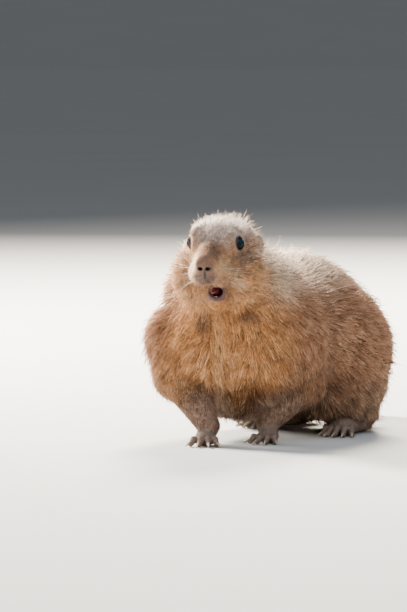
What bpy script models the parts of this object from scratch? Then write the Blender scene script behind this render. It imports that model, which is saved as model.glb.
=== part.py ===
# A life-size prairie dog standing on all fours, its head turned and its mouth a little open.
# Up is +Z, the animal's left is +X and its head is toward -Y. Tables are in millimetres.
# The whole body is one smooth distance field, meshed and then parted with thin cuts.
import math

import bmesh
import bpy
import numpy as np
from mathutils import Matrix, Vector

MM = 0.001
CUT_GAP = 0.3 * MM  # left between two neighbouring nodes
CENTRE = np.array([-18.2, 91.0, 0.0]) * MM  # the body's box centre in the tables' frame

# Turns from -Y toward the animal's left, in degrees, of each length of the body
YAW = {"head": 17.5, "chest": 20.0, "belly": 10.0, "loin": -5.0, "rump": -15.0}

# Trunk masses out to the tips of the coat: centre, then half sizes side, length, height, then yaw
TRUNK = [
    ((-15.0, 25.0, 61.5), (52.0, 47.0, 49.0), YAW["chest"]),
    ((-20.6, 59.7, 69.0), (62.0, 60.0, 53.0), YAW["belly"]),
    ((-16.6, 96.7, 67.0), (60.0, 56.0, 57.0), YAW["loin"]),
    ((-9.2, 124.0, 55.5), (55.0, 50.0, 50.0), YAW["rump"]),
]
HUMP = ((-43.0, 18.0, 95.0), (22.0, 26.0, 24.0), YAW["chest"])  # over the right shoulder, pushed up
NECK_BASE, NECK_BASE_RADIUS = (-10.0, 26.0, 90.0), 42.0
NECK_TOP, NECK_TOP_RADIUS = (-20.0, 0.0, -20.0), 31.0  # ahead, left, up of the eyes' midpoint

# Head masses, in the head's own frame: ahead, left and up of the midpoint between the eyes
EYES_MIDPOINT = (0.5, -32.2, 133.7)
HEAD_MASSES = [
    ((-13.0, 0.0, -3.0), (19.5, 27.0, 20.0)),  # skull
    ((-24.0, 6.5, -3.0), (16.5, 20.0, 18.5)),  # nape
    ((-8.0, 9.0, 5.2), (9.0, 12.0, 8.4)),  # left of the crown
    ((-8.0, -9.0, 5.2), (9.0, 12.0, 8.8)),  # right of the crown
    ((0.0, 9.6, 4.6), (6.2, 10.0, 5.4)),  # left brow
    ((0.0, -10.8, 6.0), (6.5, 10.0, 6.2)),  # right brow
    ((-3.6, 12.6, -0.4), (5.4, 7.6, 6.6)),  # behind the left eye
    ((-3.6, -12.6, -0.4), (5.4, 7.6, 6.6)),  # behind the right eye
    ((4.5, 10.5, -1.5), (4.2, 5.5, 6.0)),  # before the left eye
    ((4.5, -10.8, -1.5), (4.2, 5.5, 6.0)),  # before the right eye
    ((9.5, 8.6, -19.0), (7.0, 10.0, 8.0)),  # left whisker pad
    ((9.5, -8.6, -19.0), (7.0, 10.0, 8.0)),  # right whisker pad
    ((26.0, 0.0, -11.5), (6.3, 4.5, 5.5)),  # nose
    ((16.5, 6.8, -21.4), (6.5, 8.0, 7.0)),  # left upper lip
    ((17.0, -5.5, -20.0), (6.5, 8.0, 7.0)),  # right upper lip
    ((-9.0, 13.0, -22.0), (17.0, 20.0, 18.0)),  # left cheek
    ((-9.0, -13.0, -22.0), (17.0, 20.0, 18.0)),  # right cheek
]
HEAD_LIMBS = [
    ((3.0, 0.0, -13.0), (20.0, 0.0, -16.0), 15.5, 9.0),  # muzzle
    ((-3.0, 0.0, -1.0), (20.0, 0.0, -10.0), 12.5, 7.0),  # bridge
    ((-8.0, 2.0, -30.0), (10.5, 4.5, -36.5), 13.0, 6.8),  # lower jaw, swung to the left
]
MOUTH_AT, MOUTH_SIZE, MOUTH_PITCH = (17.0, 4.6, -30.9), (5.0, 12.0, 4.3), -8.0  # open front
TONGUE_AT, TONGUE_SIZE = (9.2, 3.0, -31.4), (3.2, 5.2, 2.4)
TOOTH_ROOT, TOOTH_TIP = (15.8, 4.6, -34.7), (16.8, 4.6, -32.7)
TOOTH_SPREAD, TOOTH_RADIUS = 0.75, 0.85
EYE_AT, EYE_RADIUS = (-0.5, 13.3, 0.2), 5.3
EYE_AXIS, EYE_UP, LID_RADIUS = 57.0, 8.0, 3.4  # the way it looks, out and up, and its opening
EAR_AT, EAR_SIZE, EAR_YAW, EAR_PITCH = (-27.0, 22.6, -1.0), (4.2, 2.2, 5.2), 30.0, 18.0
EAR_INNER, EAR_FRONT, EAR_BACK, EAR_TOP, EAR_FOOT = 21.8, -21.0, -33.0, 6.0, -7.0  # its cuts

# Fore limbs: shoulder, elbow and wrist with their radii, then the foot's place and yaw
ARMS = {
    "left": ((19.7, 36.8, 70.0), 24.0, (21.4, 47.0, 38.0), 16.0, (9.5, 22.0, 13.0), 7.8),
    "right": ((-49.9, 11.5, 67.0), 26.5, (-43.0, -3.0, 45.0), 18.5, (-13.5, -17.0, 13.0), 7.8),
}
FOREFEET = {"left": ((12.5, 16.5), 12.0), "right": ((-13.2, -21.5), 24.0)}
PALM_SIZE, PALM_HEIGHT = (7.2, 8.5, 5.5), 4.8
FORE_TOES = [  # side, turn out, length, claw length
    (5.2, 26.0, 8.5, 7.0),
    (2.0, 8.0, 10.0, 8.0),
    (-1.5, -6.0, 10.0, 8.0),
    (-4.8, -24.0, 8.5, 7.0),
]

# Hind limbs: the ball of the foot and the heel on the floor, the thigh and the knee
HINDFEET = {"left": ((29.0, 90.0), (22.5, 130.0)), "right": ((-49.0, 122.0), (-40.0, 161.0))}
THIGH_OUT, THIGH_AHEAD, THIGH_UP, THIGH_SIZE = 34.0, 8.0, 38.5, (23.0, 40.0, 36.0)
KNEE_OUT, KNEE_AHEAD, KNEE_UP = 42.0, 34.0, 26.0
HIND_TOES = [
    (7.5, 22.0, 8.5, 5.5),
    (4.0, 9.0, 11.5, 6.2),
    (0.3, 0.0, 12.5, 6.5),
    (-3.4, -8.0, 11.8, 6.2),
    (-6.8, -20.0, 8.5, 5.5),
]

TAIL = [  # points along the tail and the coat's radius at each
    ((1.2, 162.6, 36.0), 13.5),
    ((-8.0, 196.0, 26.0), 11.0),
    ((-28.0, 228.0, 16.5), 10.5),
    ((-34.0, 238.0, 13.5), 6.0),
]

# How widely neighbouring masses melt into each other
MELT = {"trunk": 16.0, "head": 6.0, "neck": 10.0, "leg": 8.0, "foot": 3.0, "toe": 2.2, "mouth": 1.5}

HEAD_LOW, HEAD_HIGH = (-46.0, -44.0, -52.0), (46.0, 46.0, 24.0)  # sampled box round the eyes' midpoint
TRUNK_LOW, TRUNK_HIGH = (-105.0, -80.0, -4.0), (70.0, 256.0, 165.0)
TOOTH_REACH = 5.0
GRID = {"trunk": 2.2, "head": 1.3, "foot": 0.7, "tooth": 0.3}  # size of a cell
FACES = {"trunk": 1820, "head": 1090, "foot": 535, "tongue": 150, "tooth": 90}
SMOOTH_TURN = math.radians(50)  # edges sharper than this stay crisp

COLOURS = {
    "head": (0.45, 0.33, 0.24), "lower_jaw": (0.62, 0.43, 0.27), "nose": (0.30, 0.22, 0.19),
    "ear": (0.50, 0.37, 0.27), "neck": (0.50, 0.34, 0.22), "chest": (0.58, 0.36, 0.19),
    "belly": (0.47, 0.31, 0.20), "rump": (0.42, 0.28, 0.18), "tail": (0.36, 0.24, 0.16),
    "upper_arm": (0.48, 0.31, 0.19), "forearm": (0.30, 0.20, 0.14), "forefoot": (0.34, 0.26, 0.21),
    "thigh": (0.42, 0.28, 0.18), "hindfoot": (0.36, 0.28, 0.22), "eye": (0.010, 0.011, 0.014),
    "tongue": (0.52, 0.14, 0.14), "lower_incisors": (0.85, 0.78, 0.62),
}
ROUGHNESS = {"eye": 0.06, "nose": 0.5, "tongue": 0.35, "lower_incisors": 0.3}
COAT_ROUGHNESS = 0.85


# Frames and points
def axes(yaw, pitch=0.0):
    # Columns are the left, ahead and up directions after a turn and a tilt of the nose upward
    y, p = math.radians(yaw), math.radians(pitch)
    left = (math.cos(y), math.sin(y), 0.0)
    ahead = (math.sin(y) * math.cos(p), -math.cos(y) * math.cos(p), math.sin(p))
    return np.column_stack([left, ahead, np.cross(ahead, left)])


def placed(point):
    # A point of the tables in metres, in the finished object's frame
    return np.array(point) * MM - CENTRE


def on_head(ahead, left, up):
    return placed(EYES_MIDPOINT) + axes(YAW["head"]) @ np.array([left, ahead, up]) * MM


def on_rump(out, ahead, up):
    x, y, _ = TRUNK[-1][0]
    at = np.array([x, y, 0.0]) + axes(YAW["rump"]) @ np.array([out, ahead, up])
    return placed(at)


# Distance fields: functions of an (N, 3) array, negative inside
def egg(centre, radii, turn):
    centre, radii = np.asarray(centre), np.array(radii) * MM

    def field(p):
        q = (p - centre) @ turn
        k0 = np.linalg.norm(q / radii, axis=1)
        k1 = np.linalg.norm(q / radii**2, axis=1)
        return k0 * (k0 - 1.0) / np.maximum(k1, 1e-9)

    return field


def limb(a, b, radius_a, radius_b):
    # A round cone: the distance to the axis less a radius that changes along it
    a, b = np.asarray(a), np.asarray(b)
    along = b - a

    def field(p):
        h = np.clip((p - a) @ along / (along @ along), 0.0, 1.0)
        gap = np.linalg.norm(p - a - h[:, None] * along, axis=1)
        return gap - (radius_a + (radius_b - radius_a) * h) * MM

    return field


def melted(fields, width):
    # A union whose seams are filled in over the given width
    def field(p):
        total = fields[0](p)
        for other in fields[1:]:
            d = other(p)
            h = np.maximum(width - np.abs(total - d), 0.0) / width
            total = np.minimum(total, d) - h**3 * width / 6.0
        return total

    return field


def hollowed(field, hole, width):
    def cut(p):
        a, b = field(p), -hole(p)
        h = np.maximum(width - np.abs(a - b), 0.0) / width
        return np.maximum(a, b) + h**3 * width / 6.0

    return cut


def within(field, centre, reach):
    # The field near its centre, and a cheap ball's distance far from it
    def cheap(p):
        far = np.linalg.norm(p - centre, axis=1) - reach
        inside = far < 0.0
        d = far + 4.0 * MM
        d[inside] = field(p[inside])
        return d

    return cheap


def toe(root, yaw, length, claw, radius):
    # A toe arched from its root down to the floor, and the claw that leads on from it
    ahead = axes(yaw)[:, 1]
    tip = root + ahead * length * MM
    tip[2] = radius * 0.9 * MM
    knuckle = root + ahead * length * 0.55 * MM + np.array([0.0, 0.0, 1.2]) * MM
    end = tip + ahead * claw * MM
    end[2] = 0.6 * MM
    return melted(
        [
            limb(root, knuckle, radius * 1.15, radius * 1.05),
            limb(knuckle, tip, radius * 1.05, radius * 0.85),
            limb(tip, end, 1.4, 0.6),
        ],
        1.2 * MM,
    )


def forefoot(side, toes):
    (x, y), yaw = FOREFEET[side]
    turn = axes(yaw)
    at = placed((x, y, 0.0))
    wrist = placed(ARMS[side][4])
    flesh = [
        egg(at + turn[:, 2] * PALM_HEIGHT * MM, PALM_SIZE, turn),
        limb(wrist, at + turn @ np.array([0.0, -2.0, 6.0]) * MM, 7.5, 6.5),
    ]
    for out, turned, length, claw in FORE_TOES if toes else ():
        root = at + turn @ np.array([out, 4.5, 3.6]) * MM
        flesh.append(toe(root, yaw + turned, length, claw, 2.2))
    return within(melted(flesh, MELT["toe"] * MM), at + turn[:, 2] * 5.0 * MM, 34.0 * MM)


def hindfoot(side, toes):
    (bx, by), (hx, hy) = HINDFEET[side]
    ball, heel = placed((bx, by, 6.6)), placed((hx, hy, 6.5))
    yaw = math.degrees(math.atan2(bx - hx, hy - by))
    turn = axes(yaw)
    flesh = [limb(heel, ball, 7.0, 6.9), egg(ball, (9.5, 8.5, 6.8), turn)]
    for out, turned, length, claw in HIND_TOES if toes else ():
        root = ball + turn @ np.array([out, 4.0, -1.6]) * MM
        flesh.append(toe(root, yaw + turned, length, claw, 2.3))
    return within(melted(flesh, MELT["toe"] * MM), (ball + heel) / 2.0, 55.0 * MM)


def thigh_frame(side):
    sign = 1 if side == "left" else -1
    return on_rump(sign * THIGH_OUT, THIGH_AHEAD, THIGH_UP), axes(YAW["rump"] + sign * 8.0)


def haunch(side):
    sign = 1 if side == "left" else -1
    centre, turn = thigh_frame(side)
    hx, hy = HINDFEET[side][1]
    knee = on_rump(sign * KNEE_OUT, KNEE_AHEAD, KNEE_UP)
    return melted(
        [egg(centre, THIGH_SIZE, turn), limb(knee, placed((hx, hy, 13.0)), 14.0, 10.0)],
        MELT["neck"] * MM,
    )


def arm(side):
    shoulder, r1, elbow, r2, wrist, r3 = ARMS[side]
    return melted(
        [limb(placed(shoulder), placed(elbow), r1, r2), limb(placed(elbow), placed(wrist), r2 - 1, r3)],
        MELT["head"] * MM,
    )


def ear(sign):
    ahead, out, up = EAR_AT
    return egg(on_head(ahead, sign * out, up), EAR_SIZE, axes(YAW["head"] + sign * EAR_YAW, EAR_PITCH))


def eye_opening(sign):
    # A cone from within the eye out between the lids
    ahead, out, up = EYE_AT
    turn = axes(YAW["head"] + sign * EYE_AXIS, EYE_UP)
    centre, look = on_head(ahead, sign * out, up), turn[:, 1] * EYE_RADIUS * MM
    return limb(centre + look * 0.4, centre + look * 2.0, LID_RADIUS, LID_RADIUS * 1.3)


def mouth():
    return egg(on_head(*MOUTH_AT), MOUTH_SIZE, axes(YAW["head"], MOUTH_PITCH))


def whole_body(fine):
    # The coarse mesh that the trunk is cut from leaves out the toes, ears and mouth
    head_turn = axes(YAW["head"])
    trunk = [egg(placed(at), size, axes(yaw)) for at, size, yaw in (*TRUNK, HUMP)]
    trunk.append(limb(on_head(*NECK_TOP), placed(NECK_BASE), NECK_TOP_RADIUS, NECK_BASE_RADIUS))
    tail = [
        limb(placed(a), placed(b), ra, rb) for (a, ra), (b, rb) in zip(TAIL[:-1], TAIL[1:])
    ]
    head = [egg(on_head(*at), size, head_turn) for at, size in HEAD_MASSES]
    head += [limb(on_head(*a), on_head(*b), ra, rb) for a, b, ra, rb in HEAD_LIMBS]
    body = melted(
        [melted(trunk, MELT["trunk"] * MM), haunch("left"), haunch("right")], MELT["neck"] * MM
    )
    body = melted([body, arm("left"), arm("right")], MELT["leg"] * MM)
    body = melted([body, melted(tail, MELT["head"] * MM)], MELT["neck"] * MM)
    body = melted([body, melted(head, MELT["head"] * MM)], MELT["neck"] * MM)
    if fine:
        body = melted([body, ear(1), ear(-1)], MELT["mouth"] * MM)
        for hole in (eye_opening(1), eye_opening(-1), mouth()):
            body = hollowed(body, hole, MELT["mouth"] * MM)
    feet = [foot(side, fine) for foot in (forefoot, hindfoot) for side in ("left", "right")]
    return melted([body, *feet], MELT["foot"] * MM)


# Meshing
def sampled(field, low, high, step, block=8):
    # The field on a grid: in full only where a coarse look finds the surface near
    size = np.ceil((np.asarray(high) - low) / step / block).astype(int)
    ticks = [(np.arange(n) + 0.5) * block * step + lo for n, lo in zip(size, low)]
    middle = np.stack(np.meshgrid(*ticks, indexing="ij"), -1).reshape(-1, 3)
    coarse = field(middle)
    close = np.abs(coarse) < block * step * 1.1
    cube = np.stack(np.meshgrid(*[np.arange(block)] * 3, indexing="ij"), -1).reshape(-1, 3)
    offset = (cube - block / 2.0) * step
    values = np.repeat(np.where(coarse < 0.0, -1.0, 1.0)[:, None] * step, block**3, axis=1)
    fine = (middle[close][:, None] + offset[None]).reshape(-1, 3)
    values[close] = field(fine).reshape(-1, block**3)
    grid = values.reshape(*size, block, block, block).transpose(0, 3, 1, 4, 2, 5)
    grid = grid.reshape(size * block)
    for axis in range(3):  # closed at the borders of the box
        edge = np.moveaxis(grid, axis, 0)
        edge[0], edge[-1] = step, step
    return untangled(grid, step)


def untangled(grid, step):
    # Where inside and outside corners alternate round a cell's face, an outside one is filled
    crossed = True
    while crossed:
        inside = grid < 0.0
        fill = np.zeros_like(inside)
        for axis in range(3):
            held, filled = np.moveaxis(inside, axis, 2), np.moveaxis(fill, axis, 2)
            a, b, c, d = held[:-1, :-1], held[1:, 1:], held[1:, :-1], held[:-1, 1:]
            filled[1:, :-1] |= a & b & ~c & ~d
            filled[:-1, :-1] |= ~a & ~b & c & d
        fill &= ~inside
        grid[fill] = -0.05 * step
        crossed = fill.any()
    return grid


def netted(grid, low, step):
    # One vertex in each cell the surface crosses, and a quad round each edge it crosses
    inside = grid < 0.0
    corners = [(i, j, k) for i in (0, 1) for j in (0, 1) for k in (0, 1)]
    shape = np.array(grid.shape) - 1
    views = [inside[i : i + shape[0], j : j + shape[1], k : k + shape[2]] for i, j, k in corners]
    count = sum(v.astype(np.int8) for v in views)
    cells = np.argwhere((count > 0) & (count < 8))
    number = np.full(shape, -1, dtype=np.int64)
    number[tuple(cells.T)] = np.arange(len(cells))
    total, hits = np.zeros((len(cells), 3)), np.zeros(len(cells))
    for a in corners:
        for axis in range(3):
            if a[axis]:
                continue
            b = tuple(a[n] + (n == axis) for n in range(3))
            va, vb = grid[tuple((cells + a).T)], grid[tuple((cells + b).T)]
            crossed = (va < 0.0) != (vb < 0.0)
            share = np.where(crossed, va / np.where(crossed, va - vb, 1.0), 0.0)
            point = cells + np.array(a) + share[:, None] * np.eye(3)[axis]
            total[crossed] += point[crossed]
            hits[crossed] += 1
    points = np.asarray(low) + total / hits[:, None] * step
    quads = []
    for axis in range(3):
        u, v = (axis + 1) % 3, (axis + 2) % 3
        first = np.moveaxis(inside, axis, 0)
        crossed = np.moveaxis(first[:-1] != first[1:], 0, axis)
        at = np.argwhere(crossed)
        at = at[(at[:, u] > 0) & (at[:, v] > 0)]
        out = inside[tuple(at.T)]
        step_u, step_v = np.eye(3, dtype=int)[u], np.eye(3, dtype=int)[v]
        ring = [number[tuple((at - o).T)] for o in (step_u + step_v, step_v, 0 * step_u, step_u)]
        ring = np.stack(ring, 1)
        quads.append(np.where(out[:, None], ring, ring[:, ::-1]))
    return points, np.concatenate(quads)


def settled(field, points, rounds=2, h=0.3 * MM):
    # Each point moved along the field's slope onto the surface itself
    feelers = np.array([[1, 1, 1], [1, -1, -1], [-1, 1, -1], [-1, -1, 1]]) * h
    for _ in range(rounds):
        slope = sum(field(points + f)[:, None] * f for f in feelers) / (4.0 * h * h)
        slope /= np.maximum(np.linalg.norm(slope, axis=1, keepdims=True), 1e-6) ** 2
        points = points - np.clip(field(points)[:, None] * slope, -MM, MM)
    return points


def new_object(name, points, faces):
    mesh = bpy.data.meshes.new(name)
    mesh.from_pydata(points.tolist(), [], faces.tolist())
    made = bpy.data.objects.new(name, mesh)
    bpy.context.scene.collection.objects.link(made)
    return made


def one_body(made):
    # Crumbs that a cut or a coarse grid leaves beside the piece are dropped
    bm = bmesh.new()
    bm.from_mesh(made.data)
    left, bodies = set(bm.verts), []
    while left:
        stack = [left.pop()]
        body = set(stack)
        while stack:
            for edge in stack.pop().link_edges:
                for vert in edge.verts:
                    if vert in left:
                        left.remove(vert)
                        body.add(vert)
                        stack.append(vert)
        bodies.append(body)
    largest = max(bodies, key=len)
    bmesh.ops.delete(bm, geom=[v for v in bm.verts if v not in largest], context="VERTS")
    bm.to_mesh(made.data)
    bm.free()
    return made


def field_object(name, field, low, high, step):
    points, quads = netted(sampled(field, low, high, step), low, step)
    inner = np.all((points > low + 2.5 * step) & (points < high - 2.5 * step), axis=1)
    points[inner] = settled(field, points[inner])
    return one_body(new_object(name, points, quads))


# Modifiers and cuts
def finished(made):
    # The object with its modifiers' result as its own mesh
    graph = bpy.context.evaluated_depsgraph_get()
    mesh = bpy.data.meshes.new_from_object(made.evaluated_get(graph))
    made.modifiers.clear()
    made.data = mesh
    return made


def thinned(made, faces):
    made.data.calc_loop_triangles()
    less = made.modifiers.new("fewer_faces", "DECIMATE")
    less.ratio = min(1.0, faces / len(made.data.loop_triangles))
    return finished(made)


def combined(made, region, grow, operation):
    cutter = region(grow)
    cut = made.modifiers.new("cut", "BOOLEAN")
    cut.operation, cut.solver, cut.object = operation, "EXACT", cutter
    finished(made)
    bpy.data.objects.remove(cutter)
    return made


def parted(whole, name, region):
    piece = whole.copy()
    piece.data = whole.data.copy()
    piece.name = name
    bpy.context.scene.collection.objects.link(piece)
    combined(piece, region, -CUT_GAP / 2.0, "INTERSECT")
    combined(whole, region, CUT_GAP / 2.0, "DIFFERENCE")
    one_body(whole)
    return one_body(piece)


# Regions: each gives a closed cutter, grown by the given distance
def cutter_object(bm):
    bmesh.ops.recalc_face_normals(bm, faces=bm.faces)
    mesh = bpy.data.meshes.new("cutter")
    bm.to_mesh(mesh)
    bm.free()
    cutter = bpy.data.objects.new("cutter", mesh)
    cutter.hide_render, cutter.display_type = True, "WIRE"
    bpy.context.scene.collection.objects.link(cutter)
    return cutter


def walls(*planes):
    # The convex space behind planes, each a point and the direction that leads out
    def region(grow):
        bm = bmesh.new()
        bmesh.ops.create_cube(bm, size=0.6)
        for point, out in planes:
            out = Vector(out).normalized()
            parts = bm.verts[:] + bm.edges[:] + bm.faces[:]
            cut = bmesh.ops.bisect_plane(
                bm, geom=parts, plane_co=Vector(point) + out * grow, plane_no=out, clear_outer=True
            )
            rim = [g for g in cut["geom_cut"] if isinstance(g, bmesh.types.BMEdge)]
            if rim:
                bmesh.ops.edgeloop_fill(bm, edges=rim)
        return cutter_object(bm)

    return region


def egg_region(centre, radii, turn, fine=2):
    def region(grow):
        bm = bmesh.new()
        place = Matrix.Translation(Vector(centre)) @ Matrix(turn.tolist()).to_4x4()
        size = Matrix.Diagonal(Vector([r * MM + grow for r in radii] + [1.0]))
        bmesh.ops.create_icosphere(bm, subdivisions=fine, radius=1.0, matrix=place @ size)
        return cutter_object(bm)

    return region


def cone_region(a, b, radius_a, radius_b):
    def region(grow):
        bm = bmesh.new()
        start, end = Vector(a), Vector(b)
        axis = (end - start).normalized()
        start, end = start - axis * grow, end + axis * grow
        turn = axis.to_track_quat("Z", "Y").to_matrix().to_4x4()
        place = Matrix.Translation((start + end) / 2.0) @ turn
        bmesh.ops.create_cone(
            bm, cap_ends=True, segments=40, radius1=radius_a * MM + grow,
            radius2=radius_b * MM + grow, depth=(end - start).length, matrix=place,
        )
        return cutter_object(bm)

    return region


def head_wall(ahead, left, up, out):
    # A cutting plane given in the head's frame, its direction as left, ahead, up
    return on_head(ahead, left, up), axes(YAW["head"]) @ np.array(out)


def foot_region(side, length, back, half_width, top, hind):
    # A box from behind the foot to past its claws, from under the floor to the given height
    if hind:
        (bx, by), (hx, hy) = HINDFEET[side]
        at, yaw = placed((bx, by, 0.0)), math.degrees(math.atan2(bx - hx, hy - by))
    else:
        at, yaw = placed((*FOREFEET[side][0], 0.0)), FOREFEET[side][1]
    left, ahead, up = axes(yaw).T
    return walls(
        (at + ahead * length * MM, ahead),
        (at - ahead * back * MM, -ahead),
        (at + left * half_width * MM, left),
        (at - left * half_width * MM, -left),
        (at + up * top * MM, up),
    )


FLOOR = walls(((0.0, 0.0, 0.0), (0.0, 0.0, -1.0)))
FORE_BOX, FORE_TOP = (30.0, 14.0, 17.0), 11.5  # ahead, behind and to each side of the palm
HIND_BOX, HIND_TOP = (26.0, 52.0, 14.0), 9.0
HEAD_REGION = walls(
    head_wall(-24.0, 0.0, -19.0, (0.0, -0.94, -0.35)), head_wall(-14.0, 0.0, -46.5, (0.0, -0.1, -1.0))
)
JAW_REGION = walls(
    head_wall(17.0, 0.0, -32.0, (0.0, 0.0, 1.0)), head_wall(-10.0, 0.0, -32.0, (0.0, -1.0, 0.0))
)
NOSE_REGION = walls(
    head_wall(24.6, 0.0, 0.0, (0.0, -1.0, 0.0)), head_wall(0.0, 0.0, -17.3, (0.0, 0.0, -1.0))
)
NECK_REGION = walls((placed((-5.0, 0.0, 102.0)), (-0.171, 0.638, -0.75)))
TAIL_REGION = walls((placed((-1.5, 174.0, 33.0)), (0.257, -0.924, 0.28)))
CHEST_REGION = walls((placed((-18.0, 42.0, 60.0)), axes(YAW["belly"])[:, 1] * -1.0))
BELLY_REGION = walls((placed((-14.0, 105.0, 60.0)), axes(-8.0)[:, 1] * -1.0))
ARM_REGION_SIZE, ARM_REGION_OUT = (23.0, 27.0, 38.0), 8.0
THIGH_REGION_SIZE, THIGH_REGION_OUT = (26.0, 43.0, 39.0), 7.0
FOREARM_RADII, FOREARM_PAST, FOREARM_SHORT = (10.0, 17.5), 9.0, 3.0


def dressed(made):
    # Its own material, smooth faces and crisp cut edges
    name = made.name
    kind = name.removesuffix("_left").removesuffix("_right")
    material = bpy.data.materials.new(name)
    material.use_nodes = True
    shader = material.node_tree.nodes["Principled BSDF"]
    shader.inputs["Base Color"].default_value = (*COLOURS[kind], 1.0)
    shader.inputs["Roughness"].default_value = ROUGHNESS.get(kind, COAT_ROUGHNESS)
    shader.inputs["Metallic"].default_value = 0.0
    made.data.materials.clear()
    made.data.materials.append(material)
    made.data.shade_smooth()
    made.data.set_sharp_from_angle(angle=SMOOTH_TURN)


def build_feet(field):
    feet = []
    for side in ("left", "right"):
        for kind, box, top in (("forefoot", FORE_BOX, FORE_TOP), ("hindfoot", HIND_BOX, HIND_TOP)):
            hind = kind == "hindfoot"
            at = placed((*(HINDFEET[side][0] if hind else FOREFEET[side][0]), 0.0))
            reach = max(box) + 6.0
            low = at + np.array([-reach, -reach, -4.0]) * MM
            high = at + np.array([reach, reach, top + 4.0]) * MM
            foot = field_object(f"{kind}_{side}", field, low, high, GRID["foot"] * MM)
            region = foot_region(side, *box, top, hind)
            thinned(foot, FACES["foot"])
            combined(foot, region, -CUT_GAP / 2.0, "INTERSECT")
            combined(foot, FLOOR, 0.0, "INTERSECT")
            one_body(foot)
            feet.append((foot, region))
    return feet


def build_trunk(field, feet):
    low, high = placed(TRUNK_LOW), placed(TRUNK_HIGH)
    trunk = field_object("rump", field, low, high, GRID["trunk"] * MM)
    thinned(trunk, FACES["trunk"])
    combined(trunk, HEAD_REGION, CUT_GAP / 2.0, "DIFFERENCE")
    for _, region in feet:
        combined(trunk, region, CUT_GAP / 2.0, "DIFFERENCE")
    combined(trunk, FLOOR, 0.0, "INTERSECT")
    one_body(trunk)
    pieces = []
    for side, sign in (("left", 1), ("right", -1)):
        shoulder, _, elbow, _, wrist, _ = (placed(v) if isinstance(v, tuple) else v for v in ARMS[side])
        down = (wrist - elbow) / np.linalg.norm(wrist - elbow)
        start, end = wrist + down * FOREARM_PAST * MM, elbow + down * FOREARM_SHORT * MM
        lower = cone_region(start, end, *FOREARM_RADII)
        pieces.append(parted(trunk, f"forearm_{side}", lower))
        turn = axes(YAW["chest"])
        middle = (shoulder + elbow) / 2.0 + turn[:, 0] * sign * ARM_REGION_OUT * MM
        pieces.append(parted(trunk, f"upper_arm_{side}", egg_region(middle, ARM_REGION_SIZE, turn)))
        centre, turn = thigh_frame(side)
        centre = centre + turn[:, 0] * sign * THIGH_REGION_OUT * MM
        pieces.append(parted(trunk, f"thigh_{side}", egg_region(centre, THIGH_REGION_SIZE, turn)))
    pieces.append(parted(trunk, "neck", NECK_REGION))
    pieces.append(parted(trunk, "tail", TAIL_REGION))
    pieces.append(parted(trunk, "chest", CHEST_REGION))
    pieces.append(parted(trunk, "belly", BELLY_REGION))
    return [trunk, *pieces]


def build_head(field):
    middle = placed(EYES_MIDPOINT)
    low, high = middle + np.array(HEAD_LOW) * MM, middle + np.array(HEAD_HIGH) * MM
    head = field_object("head", field, low, high, GRID["head"] * MM)
    thinned(head, FACES["head"])
    combined(head, HEAD_REGION, -CUT_GAP / 2.0, "INTERSECT")
    eyes = []
    for side, sign in (("left", 1), ("right", -1)):
        ahead, out, up = EYE_AT
        centre = on_head(ahead, sign * out, up)
        ball = egg_region(centre, (EYE_RADIUS,) * 3, axes(0.0), fine=3)
        combined(head, ball, CUT_GAP, "DIFFERENCE")
        bpy.ops.mesh.primitive_uv_sphere_add(
            radius=EYE_RADIUS * MM, segments=18, ring_count=9, location=centre
        )
        eye = bpy.context.object
        eye.data.transform(eye.matrix_basis)
        eye.matrix_basis.identity()
        eye.name = f"eye_{side}"
        eyes.append(eye)
    one_body(head)
    pieces = [parted(head, "lower_jaw", JAW_REGION), parted(head, "nose", NOSE_REGION)]
    for side, sign in (("left", 1), ("right", -1)):
        region = walls(
            head_wall(0.0, sign * EAR_INNER, 0.0, (-sign, 0.0, 0.0)),
            head_wall(EAR_FRONT, 0.0, 0.0, (0.0, 1.0, 0.0)),
            head_wall(EAR_BACK, 0.0, 0.0, (0.0, -1.0, 0.0)),
            head_wall(0.0, 0.0, EAR_TOP, (0.0, 0.0, 1.0)),
            head_wall(0.0, 0.0, EAR_FOOT, (0.0, 0.0, -1.0)),
        )
        pieces.append(parted(head, f"ear_{side}", region))
    return [head, *eyes, *pieces]


def build_mouth_parts():
    # Tongue and lower incisors, held clear of the mouth's walls
    turn = axes(YAW["head"], MOUTH_PITCH)
    room = egg_region(on_head(*MOUTH_AT), MOUTH_SIZE, turn)
    tongue = egg_region(on_head(*TONGUE_AT), TONGUE_SIZE, turn, fine=3)(0.0)
    tongue.name, tongue.hide_render, tongue.display_type = "tongue", False, "TEXTURED"
    thinned(tongue, FACES["tongue"])
    combined(tongue, room, -CUT_GAP, "INTERSECT")
    teeth = []
    for sign in (1, -1):
        root, tip = (
            on_head(a, l + sign * TOOTH_SPREAD, u) for a, l, u in (TOOTH_ROOT, TOOTH_TIP)
        )
        teeth.append(limb(root, tip, TOOTH_RADIUS, TOOTH_RADIUS * 0.85))
    middle = on_head(*TOOTH_TIP)
    reach = TOOTH_REACH * MM
    incisors = field_object(
        "lower_incisors", melted(teeth, 0.3 * MM), middle - reach, middle + reach, GRID["tooth"] * MM
    )
    thinned(incisors, FACES["tooth"])
    combined(incisors, room, -CUT_GAP, "INTERSECT")
    return [tongue, incisors]


for leftover in list(bpy.data.objects):
    bpy.data.objects.remove(leftover)
body_field = whole_body(fine=True)
foot_pieces = build_feet(body_field)
nodes = [foot for foot, _ in foot_pieces]
nodes += build_trunk(whole_body(fine=False), foot_pieces)
nodes += build_head(body_field)
nodes += build_mouth_parts()
for node in nodes:
    dressed(node)
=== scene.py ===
# Prairie dog, life size, standing on all fours with its head turned and its mouth a little open.
# One smooth skin is grown from round masses, and the coat is laid on it as thousands of thin tufts.
import math

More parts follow.
